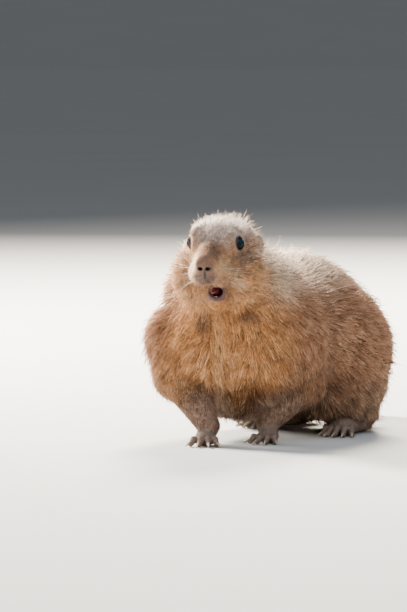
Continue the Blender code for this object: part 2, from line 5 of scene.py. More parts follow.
import bmesh
import bpy
import numpy as np
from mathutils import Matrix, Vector


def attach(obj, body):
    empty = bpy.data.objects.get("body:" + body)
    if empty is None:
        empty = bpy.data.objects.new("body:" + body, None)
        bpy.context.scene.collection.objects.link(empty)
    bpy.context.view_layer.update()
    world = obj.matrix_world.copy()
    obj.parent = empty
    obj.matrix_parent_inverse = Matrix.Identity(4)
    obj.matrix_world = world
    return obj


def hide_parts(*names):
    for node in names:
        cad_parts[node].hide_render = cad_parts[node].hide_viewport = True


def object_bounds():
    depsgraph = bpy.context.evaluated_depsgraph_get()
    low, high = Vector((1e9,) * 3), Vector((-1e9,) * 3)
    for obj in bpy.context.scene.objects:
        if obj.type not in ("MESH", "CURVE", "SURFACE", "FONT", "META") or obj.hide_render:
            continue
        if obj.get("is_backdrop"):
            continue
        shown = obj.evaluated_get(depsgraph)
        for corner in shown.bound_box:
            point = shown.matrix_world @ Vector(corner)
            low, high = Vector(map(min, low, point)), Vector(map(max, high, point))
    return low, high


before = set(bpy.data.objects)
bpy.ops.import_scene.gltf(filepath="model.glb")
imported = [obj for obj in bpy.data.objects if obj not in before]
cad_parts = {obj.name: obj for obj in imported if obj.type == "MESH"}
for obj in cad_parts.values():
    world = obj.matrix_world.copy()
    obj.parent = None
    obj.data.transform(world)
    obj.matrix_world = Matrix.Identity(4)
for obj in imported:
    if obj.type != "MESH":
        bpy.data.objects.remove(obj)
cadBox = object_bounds()

mm = 0.001
rng = np.random.default_rng(11)
bodyCentre = np.array([-18.2, 91.0, 0.0]) * mm  # the body's box centre in the tables' frame
headTurn, chestTurn, rumpTurn = 17.5, 20.0, -15.0  # degrees from -Y toward the animal's left
eyesMidpoint = (0.5, -32.2, 133.7)

# Hair of each kind: coat depth, hair length and width in mm, tufts in a square mm, how far they stand
# off the skin at the root and the tip in degrees, size of a clump in mm and how hard it gathers
hairTraits = ("depth", "length", "width", "count", "lift", "tipLift", "clump", "gather")
coats = {
    "nose": (0.35, 1.3, 0.22, 5.0, 16, 6, 1.2, 0.1),
    "muzzle": (0.9, 3.0, 0.28, 8.0, 17, 8, 1.6, 0.25),
    "lip": (0.6, 1.9, 0.24, 8.0, 18, 8, 1.3, 0.2),
    "eyeRim": (0.5, 1.6, 0.22, 9.0, 12, 5, 1.2, 0.2),
    "brow": (1.3, 3.6, 0.3, 6.5, 20, 10, 1.9, 0.3),
    "nape": (2.8, 8.4, 0.42, 3.2, 29, 18, 3.4, 0.45),
    "chin": (1.0, 3.2, 0.3, 7.0, 20, 9, 1.8, 0.25),
    "crown": (1.9, 5.6, 0.36, 4.6, 22, 12, 2.6, 0.4),
    "cheek": (2.6, 7.5, 0.38, 4.2, 24, 12, 3.0, 0.4),
    "ear": (0.5, 2.0, 0.26, 7.0, 20, 10, 1.6, 0.2),
    "neck": (5.0, 12.0, 0.55, 1.7, 28, 14, 4.5, 0.45),
    "trunk": (5.6, 13.5, 0.62, 1.25, 27, 12, 5.0, 0.5),
    "arm": (4.2, 11.0, 0.55, 1.7, 24, 10, 4.0, 0.45),
    "forearm": (1.5, 4.6, 0.36, 4.6, 18, 6, 2.2, 0.3),
    "paw": (0.45, 1.9, 0.28, 6.0, 12, 3, 1.4, 0.2),
    "haunch": (5.0, 12.0, 0.6, 1.4, 24, 9, 4.6, 0.45),
    "hindPaw": (0.45, 2.2, 0.3, 5.0, 12, 3, 1.4, 0.2),
    "tail": (3.2, 14.0, 0.6, 3.0, 18, 8, 4.0, 0.4),
}
coats = {kind: dict(zip(hairTraits, values)) for kind, values in coats.items()}
faceHair = ("nose", "muzzle", "lip", "chin")
headHair = ("crown", "cheek", "ear", "brow", "nape", "eyeRim")

# The body's masses out to the tips of the coat, in mm, each with the kind of hair it carries
trunkMasses = [  # centre, half sizes side, length and height, turn, hair
    ((-15.0, 25.0, 61.5), (52.0, 47.0, 49.0), 20.0, "trunk"),
    ((-20.6, 59.7, 69.0), (62.0, 60.0, 53.0), 10.0, "trunk"),
    ((-16.6, 96.7, 67.0), (60.0, 56.0, 57.0), -5.0, "trunk"),
    ((-9.2, 124.0, 55.5), (55.0, 50.0, 50.0), -15.0, "trunk"),
]
humpMass = ((-43.0, 18.0, 95.0), (22.0, 26.0, 24.0), 20.0, "neck")  # over the right shoulder, pushed up
neckBase, neckBaseRadius = (-10.0, 26.0, 90.0), 42.0
neckTop, neckTopRadius = (-20.0, 0.0, -20.0), 31.0
headMasses = [  # ahead, left and up of the eyes' midpoint, half sizes, hair
    ((-13.0, 0.0, -3.0), (19.5, 27.0, 20.0), "crown"),
    ((-24.0, 6.5, -3.0), (16.5, 20.0, 18.5), "nape"),
    ((-8.0, 9.0, 5.2), (9.0, 12.0, 8.4), "crown"),
    ((-8.0, -9.0, 5.2), (9.0, 12.0, 8.8), "crown"),
    ((0.0, 9.6, 4.6), (6.2, 10.0, 5.4), "brow"),
    ((0.0, -10.8, 6.0), (6.5, 10.0, 6.2), "brow"),
    ((-3.6, 12.6, -0.4), (5.4, 7.6, 6.6), "eyeRim"),
    ((-3.6, -12.6, -0.4), (5.4, 7.6, 6.6), "eyeRim"),
    ((4.5, 10.5, -1.5), (4.2, 5.5, 6.0), "eyeRim"),
    ((4.5, -10.8, -1.5), (4.2, 5.5, 6.0), "eyeRim"),
    ((9.5, 8.6, -19.0), (7.0, 10.0, 8.0), "muzzle"),
    ((9.5, -8.6, -19.0), (7.0, 10.0, 8.0), "muzzle"),
    ((26.0, -1.2, -11.5), (6.0, 4.5, 5.5), "nose"),
    ((16.5, 6.8, -21.4), (6.5, 8.0, 7.0), "lip"),
    ((17.0, -5.5, -20.0), (6.5, 8.0, 7.0), "lip"),
    ((-9.0, 13.0, -22.0), (17.0, 20.0, 18.0), "cheek"),
    ((-9.0, -13.0, -22.0), (17.0, 20.0, 18.0), "cheek"),
]
headLimbs = [  # two ends and their radii, hair
    ((3.0, 0.0, -13.0), (20.0, -0.8, -16.0), 15.5, 9.0, "muzzle"),
    ((-3.0, 0.0, -1.0), (20.0, -0.8, -10.0), 12.5, 7.0, "muzzle"),
    ((-8.0, 2.0, -30.0), (10.5, 4.5, -36.5), 13.0, 6.8, "chin"),
]
mouthShape = dict(at=(17.0, 4.2, -30.2), size=(4.7, 12.0, 3.5), pitch=-8.0)
lipShape = dict(at=(16.2, 4.6, -31.4), radius=4.5, thick=1.85, squash=0.86)
noseMiddle = -1.2  # the nose turns a little aside from the head's middle, in mm to its left
eyeShape = dict(at=(-0.5, 13.3, 0.2), radius=5.3, axis=57.0, up=8.0, grid=(30, 48))
lidOutline = dict(top=2.2, topRadius=1.7, bottom=-0.9, bottomRadius=3.3, thick=0.5)
squint = {1: 1.0, -1: 0.6}  # the right eye is half closed
earShape = dict(at=(-27.0, 22.6, -1.0), size=(4.2, 2.2, 5.2), turn=30.0, pitch=18.0)
arms = {  # shoulder, elbow and wrist with their radii
    "left": ((19.7, 36.8, 70.0), 24.0, (21.4, 47.0, 38.0), 16.0, (9.5, 22.0, 13.0), 7.8),
    "right": ((-49.9, 11.5, 67.0), 26.5, (-43.0, -3.0, 45.0), 18.5, (-13.5, -17.0, 13.0), 7.8),
}
foreFeet = {"left": ((12.5, 16.5), 12.0), "right": ((-13.2, -21.5), 24.0)}
palmSize, palmHeight = (7.2, 8.5, 5.5), 4.8
foreToes = [(5.2, 26.0, 8.5, 7.0), (2.0, 8.0, 10.0, 8.0), (-1.5, -6.0, 10.0, 8.0), (-4.8, -24.0, 8.5, 7.0)]
hindFeet = {"left": ((29.0, 90.0), (22.5, 130.0)), "right": ((-49.0, 122.0), (-40.0, 161.0))}
thigh = dict(out=34.0, ahead=8.0, up=38.5, size=(23.0, 40.0, 36.0), knee=(42.0, 34.0, 26.0))
hindToes = [
    (7.5, 22.0, 8.5, 5.5), (4.0, 9.0, 11.5, 6.2), (0.3, 0.0, 12.5, 6.5), (-3.4, -8.0, 11.8, 6.2),
    (-6.8, -20.0, 8.5, 5.5),
]
tailPath = [  # places along the tail and its radius there
    ((1.2, 162.6, 36.0), 13.5), ((-8.0, 196.0, 26.0), 11.0),
    ((-28.0, 228.0, 16.5), 10.5), ((-34.0, 238.0, 13.5), 6.0),
]
melt = dict(trunk=16.0, head=6.0, neck=10.0, leg=8.0, foot=3.0, toe=2.2, mouth=1.2)  # widths of the joins


def axes(turn, pitch=0.0):  # columns are left, ahead and up after a turn and a tilt of the nose
    y, p = math.radians(turn), math.radians(pitch)
    left = (math.cos(y), math.sin(y), 0.0)
    ahead = (math.sin(y) * math.cos(p), -math.cos(y) * math.cos(p), math.sin(p))
    return np.column_stack([left, ahead, np.cross(ahead, left)])


def placed(point):
    return np.array(point) * mm - bodyCentre


def onHead(ahead, left, up):
    return placed(eyesMidpoint) + axes(headTurn) @ np.array([left, ahead, up]) * mm


def onRump(out, ahead, up):
    x, y, _ = trunkMasses[-1][0]
    return placed(np.array([x, y, 0.0]) + axes(rumpTurn) @ np.array([out, ahead, up]))


def unit(v):
    return v / np.maximum(np.linalg.norm(v, axis=-1, keepdims=True), 1e-12)


def lengths(v):
    return np.linalg.norm(v, axis=-1)


def alongSurface(v, normals):  # v less its part along the normals
    return v - normals * np.sum(v * normals, axis=1, keepdims=True)


def smooth(low, high, x):  # 0 below low, 1 above high, with a soft S between
    t = np.clip((x - low) / (high - low), 0.0, 1.0)
    return t * t * (3.0 - 2.0 * t)


# Distance fields: functions of an (N, 3) array of points, negative inside
def egg(centre, radii, turn):  # scaled length k0 of the offset, times (k0 - 1), over its gradient's length
    centre, radii = np.asarray(centre), np.array(radii) * mm

    def field(p):
        q = (p - centre) @ turn
        k0, k1 = lengths(q / radii), lengths(q / radii**2)
        return k0 * (k0 - 1.0) / np.maximum(k1, 1e-9)

    return field


def underCoat(centre, size, turn, kind):  # an egg within its outline by the depth of its kind of hair
    return egg(centre, np.array(size) - coats[kind]["depth"], turn)


def limb(a, b, radiusA, radiusB):  # distance to a segment less a radius that changes along it
    a, b = np.asarray(a), np.asarray(b)
    along = b - a

    def field(p):
        h = np.clip((p - a) @ along / (along @ along), 0.0, 1.0)
        gap = lengths(p - a - h[:, None] * along)
        return gap - (radiusA + (radiusB - radiusA) * h) * mm

    return field


def melted(fields, width):  # smaller of two distances, less h^3 * width / 6 where they are within width
    width = width * mm

    def field(p):
        total = fields[0](p)
        for other in fields[1:]:
            d = other(p)
            h = np.maximum(width - np.abs(total - d), 0.0) / width
            total = np.minimum(total, d) - h**3 * width / 6.0
        return total

    return field


def hollowed(field, hole, width):  # the field outside the hole, its edge rounded over the same width
    width = width * mm

    def cut(p):
        a, b = field(p), -hole(p)
        h = np.maximum(width - np.abs(a - b), 0.0) / width
        return np.maximum(a, b) + h**3 * width / 6.0

    return cut


def within(field, centre, reach):  # the field near its centre, a cheap ball's distance elsewhere
    def cheap(p):
        far = lengths(p - centre) - reach * mm
        inside = far < 0.0
        d = far + 4.0 * mm
        d[inside] = field(p[inside])
        return d

    return cheap


claws = []  # start, direction, length and radius of each, filled in as the feet are made


def toe(root, turn, length, radius, claw, clawRadius):
    # Two limbs that meet at a raised knuckle; a claw's place is noted at the tip
    ahead = axes(turn)[:, 1]
    tip = root + ahead * length * mm
    tip[2] = radius * 0.9 * mm
    knuckle = root + ahead * length * 0.55 * mm + np.array([0.0, 0.0, 1.2]) * mm
    claws.append((tip, ahead, claw, clawRadius))
    return melted([limb(root, knuckle, radius * 1.05, radius), limb(knuckle, tip, radius, radius * 0.8)], 1.2)


def foreFoot(side):
    (x, y), turn = foreFeet[side]
    footAxes = axes(turn)
    at = placed((x, y, 0.0))
    flesh = [
        underCoat(at + footAxes[:, 2] * palmHeight * mm, palmSize, footAxes, "paw"),
        limb(placed(arms[side][4]), at + footAxes @ np.array([0.0, -2.0, 6.0]) * mm, 6.7, 6.0),
    ]
    for out, turned, length, claw in foreToes:
        root = at + footAxes @ np.array([out, 4.5, 3.6]) * mm
        flesh.append(toe(root, turn + turned, length, 2.0, claw, 1.25))
    return within(melted(flesh, melt["toe"]), at + footAxes[:, 2] * 5.0 * mm, 34.0)


def hindFoot(side):
    (bx, by), (hx, hy) = hindFeet[side]
    ball, heel = placed((bx, by, 6.6)), placed((hx, hy, 6.5))
    turn = math.degrees(math.atan2(bx - hx, hy - by))
    footAxes = axes(turn)
    flesh = [limb(heel, ball, 6.6, 6.5), egg(ball, (9.1, 8.1, 6.5), footAxes)]
    for out, turned, length, claw in hindToes:
        root = ball + footAxes @ np.array([out, 4.0, -1.6]) * mm
        flesh.append(toe(root, turn + turned, length, 2.1, claw, 1.2))
    return within(melted(flesh, melt["toe"]), (ball + heel) / 2.0, 55.0)


def haunchFields(side):
    sign = 1 if side == "left" else -1
    turn = axes(rumpTurn + sign * 8.0)
    out, ahead, up = thigh["knee"]
    hx, hy = hindFeet[side][1]
    return [
        underCoat(onRump(sign * thigh["out"], thigh["ahead"], thigh["up"]), thigh["size"], turn, "haunch"),
        limb(onRump(sign * out, ahead, up), placed((hx, hy, 13.0)), 14.0 - coats["haunch"]["depth"], 8.4),
    ]


def armFields(side):
    shoulder, r1, elbow, r2, wrist, r3 = arms[side]
    d1, d2 = coats["arm"]["depth"], coats["forearm"]["depth"]
    return [
        limb(placed(shoulder), placed(elbow), r1 - d1, r2 - 0.5 * (d1 + d2)),
        limb(placed(elbow), placed(wrist), r2 - 1 - 0.5 * (d1 + d2), r3 - d2 * 0.6),
    ]


def eyeAxis(sign):  # the way the eye looks out
    a, u = math.radians(eyeShape["axis"]), math.radians(eyeShape["up"])
    look = [sign * math.sin(a) * math.cos(u), math.cos(a) * math.cos(u), math.sin(u)]
    return axes(headTurn) @ np.array(look)


def eyeCentre(sign):
    ahead, out, up = eyeShape["at"]
    return onHead(ahead, sign * out, up)


def acrossEye(sign):  # the eye's centre, and columns to its side, to its top and outward
    look = eyeAxis(sign)
    side = unit(np.cross(look, (0.0, 0.0, 1.0)))
    return eyeCentre(sign), np.column_stack([side, np.cross(side, look), look])


def fromEye(p, sign):  # offsets in mm from the eye's centre along those columns
    centre, turn = acrossEye(sign)
    return (p - centre) @ turn / mm


def lidLine(q, sign):
    # Distance in mm to the edge of the opening: two circles, the lower one larger, and their hull
    top, bottom = lidOutline["top"], lidOutline["bottom"]
    x, y = q[:, 0] / squint[sign], q[:, 1] / squint[sign]
    h = np.clip((top - y) / (top - bottom), 0.0, 1.0)
    radius = lidOutline["topRadius"] + (lidOutline["bottomRadius"] - lidOutline["topRadius"]) * h
    return (np.hypot(x, y - top + (top - bottom) * h) - radius) * squint[sign]


def lids(sign):  # a tube that follows the opening's edge over the eyeball, and the opening inside it
    def rim(p):
        q = fromEye(p, sign)
        above = lengths(q) - eyeShape["radius"] - 0.1
        tube = np.hypot(lidLine(q, sign) - 0.4, above) - lidOutline["thick"]
        return np.where(q[:, 2] > 0, tube, 4.0) * mm

    def opening(p):
        q = fromEye(p, sign)
        return np.maximum(lidLine(q, sign), -q[:, 2]) * mm

    return rim, opening


def ring(centre, axis, radius, thick, squash=1.0):  # a torus: distance to a circle less its thickness
    side = unit(np.cross(axis, (0.0, 0.0, 1.0)))
    top = np.cross(side, axis)

    def field(p):
        q = p - centre
        x, y, z = q @ side, q @ top / squash, q @ axis
        return np.hypot(np.hypot(x, y) - radius * mm, z) - thick * mm

    return field


def earField(sign):
    ahead, out, up = earShape["at"]
    turn = axes(headTurn + sign * earShape["turn"], earShape["pitch"])
    centre = onHead(ahead, sign * out, up)
    size = np.array(earShape["size"])
    outer = egg(centre, size - 0.3, turn)
    inner = centre + turn @ np.array([0.4 * sign, 1.7, 0.6]) * mm
    bowl = egg(inner, size * np.array([0.72, 0.95, 0.76]), turn)
    return within(hollowed(outer, bowl, 0.6), centre, 12.0)


def mouthField():
    return egg(onHead(*mouthShape["at"]), mouthShape["size"], axes(headTurn, mouthShape["pitch"]))


masses = []  # every mass as (field, hair), for the lie and the kind of the coat


def grownBody():
    trunk = [(underCoat(placed(c), s, axes(y), k), k) for c, s, y, k in (*trunkMasses, humpMass)]
    d = coats["neck"]["depth"]
    trunk.append((limb(onHead(*neckTop), placed(neckBase), neckTopRadius - d, neckBaseRadius - d), "neck"))
    head = [(underCoat(onHead(*c), s, axes(headTurn), k), k) for c, s, k in headMasses]
    for a, b, ra, rb, k in headLimbs:
        d = coats[k]["depth"]
        head.append((limb(onHead(*a), onHead(*b), ra - d, rb - d), k))
    d = coats["tail"]["depth"]
    tail = []
    for (a, ra), (b, rb) in zip(tailPath[:-1], tailPath[1:]):
        tail.append((limb(placed(a), placed(b), ra - d, max(rb - d, 2.6)), "tail"))
    haunch = {side: haunchFields(side) for side in arms}
    arm = {side: armFields(side) for side in arms}
    feet = [(foreFoot(side), "paw") for side in arms] + [(hindFoot(side), "hindPaw") for side in arms]
    ears = [(earField(sign), "ear") for sign in (1, -1)]
    masses.extend(trunk + head + tail + feet + ears)
    for side in arms:
        masses.extend([(f, "haunch") for f in haunch[side]])
        masses.extend([(arm[side][0], "arm"), (arm[side][1], "forearm")])

    def flesh(pieces, width):
        return melted([f for f, _ in pieces], melt[width])

    haunches = [melted(haunch[side], melt["neck"]) for side in arms]
    body = melted([flesh(trunk, "trunk")] + haunches, melt["neck"])
    body = melted([body] + [melted(arm[side], melt["head"]) for side in arms], melt["leg"])
    body = melted([body, flesh(tail, "head")], melt["neck"])
    body = melted([body, flesh(head, "head")], melt["neck"])
    body = melted([body] + [f for f, _ in ears], 1.5)
    return melted([body] + [f for f, _ in feet], melt["foot"])


# Two bores for each nostril: inner end, outer end, their radii and the width of the rounding
nostrilBores = [
    ((30.4, 1.2, -16.0), (26.8, 4.4, -13.9), 0.9, 0.5, 0.8),
    ((31.0, 2.0, -15.3), (26.5, 2.3, -14.4), 1.25, 1.0, 0.7),
]


def withFace(body):
    # Lids round each eye, a lip round the mouth, nostrils and the cleft under the nose
    face = body
    for sign in (1, -1):
        centre = eyeCentre(sign)
        rim, opening = lids(sign)
        face = melted([face, within(rim, centre, 12.0)], 1.4)
        ball = egg(centre, (eyeShape["radius"] + 0.05,) * 3, axes(0.0))
        face = hollowed(hollowed(face, opening, 0.5), ball, 0.3)
    lipAt = onHead(*lipShape["at"])
    lip = ring(lipAt, axes(headTurn, -14.0)[:, 1], lipShape["radius"], lipShape["thick"], lipShape["squash"])
    face = melted([face, within(lip, lipAt, 16.0)], 2.0)
    face = hollowed(face, mouthField(), melt["mouth"])
    for sign in (1, -1):
        for inner, outer, innerRadius, outerRadius, width in nostrilBores:
            a, b = (onHead(ahead, sign * left + noseMiddle, up) for ahead, left, up in (inner, outer))
            face = hollowed(face, limb(a, b, innerRadius, outerRadius), width)
    cleft = limb(onHead(29.8, noseMiddle, -16.8), onHead(26.2, noseMiddle + 0.3, -26.4), 0.5, 0.6)
    return hollowed(face, cleft, 0.8)


def bandedTicks(low, high, bands, block=8):  # coordinates along an axis, with finer steps in some bands
    ticks = [low]
    while ticks[-1] < high:
        step = min([s for a, b, s in bands if a <= ticks[-1] < b] + [2.0]) * 1.0
        ticks.append(ticks[-1] + step)
    while len(ticks) % block:
        ticks.append(ticks[-1] + 2.0)
    return np.array(ticks) * mm


def gridOf(lines):
    return np.stack(np.meshgrid(*lines, indexing="ij"), -1).reshape(-1, 3)


def sampled(field, ticks, block=8):
    # The field on a grid: in full only in the blocks that the surface may pass through
    parts = [t.reshape(-1, block) for t in ticks]
    low = gridOf([t[:, 0] for t in parts])
    high = gridOf([t[:, -1] for t in parts])
    middle, reach = (low + high) / 2.0, lengths(high - low) / 2.0
    coarse = field(middle)
    close = np.abs(coarse) < reach * 1.15 + 2.0 * mm
    values = np.repeat(np.where(coarse < 0.0, -mm, mm)[:, None], block**3, axis=1)
    order = gridOf([np.arange(len(t)) for t in parts])[close]
    xs, ys, zs = (parts[n][order[:, n]] for n in range(3))
    fine = np.broadcast_arrays(xs[:, :, None, None], ys[:, None, :, None], zs[:, None, None, :])
    values[close] = field(np.stack(fine, -1).reshape(-1, 3)).reshape(-1, block**3)
    size = np.array([len(t) for t in parts])
    grid = values.reshape(*size, block, block, block).transpose(0, 3, 1, 4, 2, 5).reshape(size * block)
    crossed = True
    while crossed:  # where inside and outside alternate round a cell's face, an outside corner is filled
        inside = grid < 0.0
        fill = np.zeros_like(inside)
        for axis in range(3):
            held, filled = np.moveaxis(inside, axis, 2), np.moveaxis(fill, axis, 2)
            a, b, c, d = held[:-1, :-1], held[1:, 1:], held[1:, :-1], held[:-1, 1:]
            filled[1:, :-1] |= a & b & ~c & ~d
            filled[:-1, :-1] |= ~a & ~b & c & d
        fill &= ~inside
        grid[fill] = -0.02 * mm
        crossed = fill.any()
    return grid


def netted(grid, ticks):
    # One vertex in each cell the surface crosses, and a quad round each grid edge it crosses
    inside = grid < 0.0
    corners = [(i, j, k) for i in (0, 1) for j in (0, 1) for k in (0, 1)]
    shape = np.array(grid.shape) - 1
    count = sum(inside[i:i + shape[0], j:j + shape[1], k:k + shape[2]].astype(np.int8) for i, j, k in corners)
    cells = np.argwhere((count > 0) & (count < 8))
    number = np.full(shape, -1, dtype=np.int64)
    number[tuple(cells.T)] = np.arange(len(cells))
    total, hits = np.zeros((len(cells), 3)), np.zeros(len(cells))
    for a in corners:
        for axis in range(3):
            if a[axis]:
                continue
            b = tuple(a[n] + (n == axis) for n in range(3))
            va, vb = grid[tuple((cells + a).T)], grid[tuple((cells + b).T)]
            crossed = (va < 0.0) != (vb < 0.0)
            share = np.where(crossed, va / np.where(crossed, va - vb, 1.0), 0.0)
            point = cells + np.array(a) + share[:, None] * np.eye(3)[axis]
            total[crossed] += point[crossed]
            hits[crossed] += 1
    index = total / hits[:, None]
    points = np.stack([np.interp(index[:, n], np.arange(len(ticks[n])), ticks[n]) for n in range(3)], 1)
    quads = []
    for axis in range(3):
        u, v = (axis + 1) % 3, (axis + 2) % 3
        first = np.moveaxis(inside, axis, 0)
        at = np.argwhere(np.moveaxis(first[:-1] != first[1:], 0, axis))
        at = at[(at[:, u] > 0) & (at[:, v] > 0)]
        stepU, stepV = np.eye(3, dtype=int)[u], np.eye(3, dtype=int)[v]
        ringed = np.stack([number[tuple((at - o).T)] for o in (stepU + stepV, stepV, 0 * stepU, stepU)], 1)
        quads.append(np.where(inside[tuple(at.T)][:, None], ringed, ringed[:, ::-1]))
    return points, np.concatenate(quads)


def slope(field, points, h=0.3 * mm):  # gradient from four feelers at a tetrahedron's corners
    feelers = np.array([[1, 1, 1], [1, -1, -1], [-1, 1, -1], [-1, -1, 1]]) * h
    return sum(field(points + f)[:, None] * f for f in feelers) / (4.0 * h * h)


def settled(field, points, rounds):  # each point moved along the slope onto the surface
    for _ in range(rounds):
        g = slope(field, points, 0.15 * mm)
        g /= np.maximum(lengths(g), 1e-6)[:, None] ** 2
        points = points - np.clip(field(points)[:, None] * g, -0.6 * mm, 0.6 * mm)
    return points


def linked(name, data):  # a new object in the scene
    made = bpy.data.objects.new(name, data)
    bpy.context.scene.collection.objects.link(made)
    return made


def newPiece(name, points, faces, material, replaces=()):
    # Faces as an array are laid in as they are; a list of them is turned to face outward
    mesh = bpy.data.meshes.new(name)
    if isinstance(faces, list):
        mesh.from_pydata(np.asarray(points).tolist(), [], faces)
        outward = bmesh.new()
        outward.from_mesh(mesh)
        bmesh.ops.recalc_face_normals(outward, faces=outward.faces)
        outward.to_mesh(mesh)
        outward.free()
    else:
        mesh.vertices.add(len(points))
        mesh.vertices.foreach_set("co", np.asarray(points, np.float32).ravel())
        mesh.loops.add(faces.size)
        mesh.loops.foreach_set("vertex_index", faces.astype(np.int32).ravel())
        mesh.polygons.add(len(faces))
        mesh.polygons.foreach_set("loop_start", np.arange(0, faces.size, faces.shape[1], dtype=np.int32))
        mesh.update(calc_edges=True)
    mesh.shade_smooth()
    mesh.materials.append(material)
    piece = linked(name, mesh)
    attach(piece, "root")
    if replaces:
        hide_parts(*replaces)
    return piece


def setAttribute(mesh, name, values):
    attribute = mesh.attributes.new(name, "FLOAT", "POINT")
    attribute.data.foreach_set("value", np.asarray(values, np.float32))


# Shader maths as Python expressions
class Wire:
    # One socket; arithmetic on it adds Math nodes to its material
    def __init__(self, board, socket):
        self.board, self.socket = board, socket

    def maths(self, operation, *values):
        return self.board.add("ShaderNodeMath", dict(operation=operation), dict(enumerate(values)))

    def __add__(self, other):
        return self.maths("ADD", self, other)

    def __radd__(self, other):
        return self.maths("ADD", other, self)

    def __sub__(self, other):
        return self.maths("SUBTRACT", self, other)

    def __rsub__(self, other):
        return self.maths("SUBTRACT", other, self)

    def __mul__(self, other):
        return self.maths("MULTIPLY", self, other)

    def __rmul__(self, other):
        return self.maths("MULTIPLY", other, self)


shaderSockets = dict(
    color="Base Color", roughness="Roughness", normal="Normal", specular="Specular IOR Level",
    coat="Coat Weight", coatRoughness="Coat Roughness",
)


class Board:
    # A material's node tree
    def __init__(self, name):
        self.material = bpy.data.materials.new(name)
        self.material.use_nodes = True
        self.tree = self.material.node_tree
        self.shader = self.tree.nodes["Principled BSDF"]

    def add(self, kind, settings=None, inputs=None, output=0):
        node = self.tree.nodes.new(kind)
        for key, value in (settings or {}).items():
            setattr(node, key, value)
        for key, value in (inputs or {}).items():
            self.put(node.inputs[key], value)
        return Wire(self, node.outputs[output])

    def put(self, socket, value):
        if isinstance(value, Wire):
            self.tree.links.new(value.socket, socket)
        elif socket.type == "RGBA":
            socket.default_value = (*value, 1.0)
        else:
            socket.default_value = value

    def set(self, **values):
        for key, value in values.items():
            self.put(self.shader.inputs[shaderSockets[key]], value)
        return self.material

    def place(self):
        return self.add("ShaderNodeTexCoord", output=3)

    def mix(self, factor, a, b):
        return self.add("ShaderNodeMix", dict(data_type="RGBA"), {0: factor, 6: a, 7: b}, output=2)

    def vector(self, operation, a, b):
        second = "Scale" if operation == "SCALE" else 1
        return self.add("ShaderNodeVectorMath", dict(operation=operation), {0: a, second: b})

    def noise(self, at, scale, detail=2.0, roughness=0.5, output=0):
        inputs = {"Vector": at, "Scale": scale, "Detail": detail, "Roughness": roughness}
        return self.add("ShaderNodeTexNoise", None, inputs, output)

    def bump(self, strength, distance, height):
        inputs = {"Strength": strength, "Distance": distance, "Height": height}
        return self.add("ShaderNodeBump", None, inputs)

    def between(self, value, low, high):  # 0 to 1 in a soft S between two values
        settings = dict(interpolation_type="SMOOTHSTEP")
        return self.add("ShaderNodeMapRange", settings, {0: value, 1: low, 2: high})

    def attribute(self, name):
        return self.add("ShaderNodeAttribute", dict(attribute_name=name), output=2)

    def blot(self, at, centre, size, turn, soft):  # 1 in an ellipsoid, fading out over soft of its size
        settings = dict(vector_type="TEXTURE")
        inputs = {0: at, 1: tuple(centre), 2: (0.0, 0.0, math.radians(turn)), 3: tuple(np.array(size) * mm)}
        local = self.add("ShaderNodeMapping", settings, inputs)
        far = self.add("ShaderNodeVectorMath", dict(operation="LENGTH"), {0: local}, output=1)
        return 1.0 - self.between(far, 1.0 - soft, 1.0 + soft)


# Colours of the coat and the bare skin, some of them painted light and shade on it
tints = dict(
    flank=(0.34, 0.17, 0.095), back=(0.65, 0.47, 0.335), lowFlankShade=(0.10, 0.055, 0.032),
    chest=(0.53, 0.24, 0.09), crown=(0.46, 0.36, 0.30), pale=(0.72, 0.50, 0.31), cheek=(0.58, 0.29, 0.12),
    eyePatch=(0.155, 0.105, 0.085), nose=(0.17, 0.095, 0.062), upperLip=(0.12, 0.08, 0.07),
    chin=(0.54, 0.22, 0.06), forearm=(0.28, 0.175, 0.13), foot=(0.24, 0.18, 0.15),
    tailTip=(0.055, 0.035, 0.026), lip=(0.072, 0.030, 0.036), lipDark=(0.032, 0.013, 0.017),
    mouth=(0.05, 0.010, 0.014), haunch=(0.18, 0.10, 0.06), muzzle=(0.66, 0.40, 0.20),
    lid=(0.012, 0.010, 0.010), hollowShade=(0.15, 0.075, 0.04), crestHighlight=(0.72, 0.44, 0.22),
    hairTip=(0.86, 0.68, 0.46), forehead=(0.45, 0.35, 0.30), elbow=(0.12, 0.06, 0.032),
    lowChestShade=(0.055, 0.022, 0.008), ear=(0.58, 0.43, 0.32), nostrilShade=(0.014, 0.009, 0.008),
    earHoleShade=(0.06, 0.04, 0.032), cleft=(0.022, 0.014, 0.013),
)
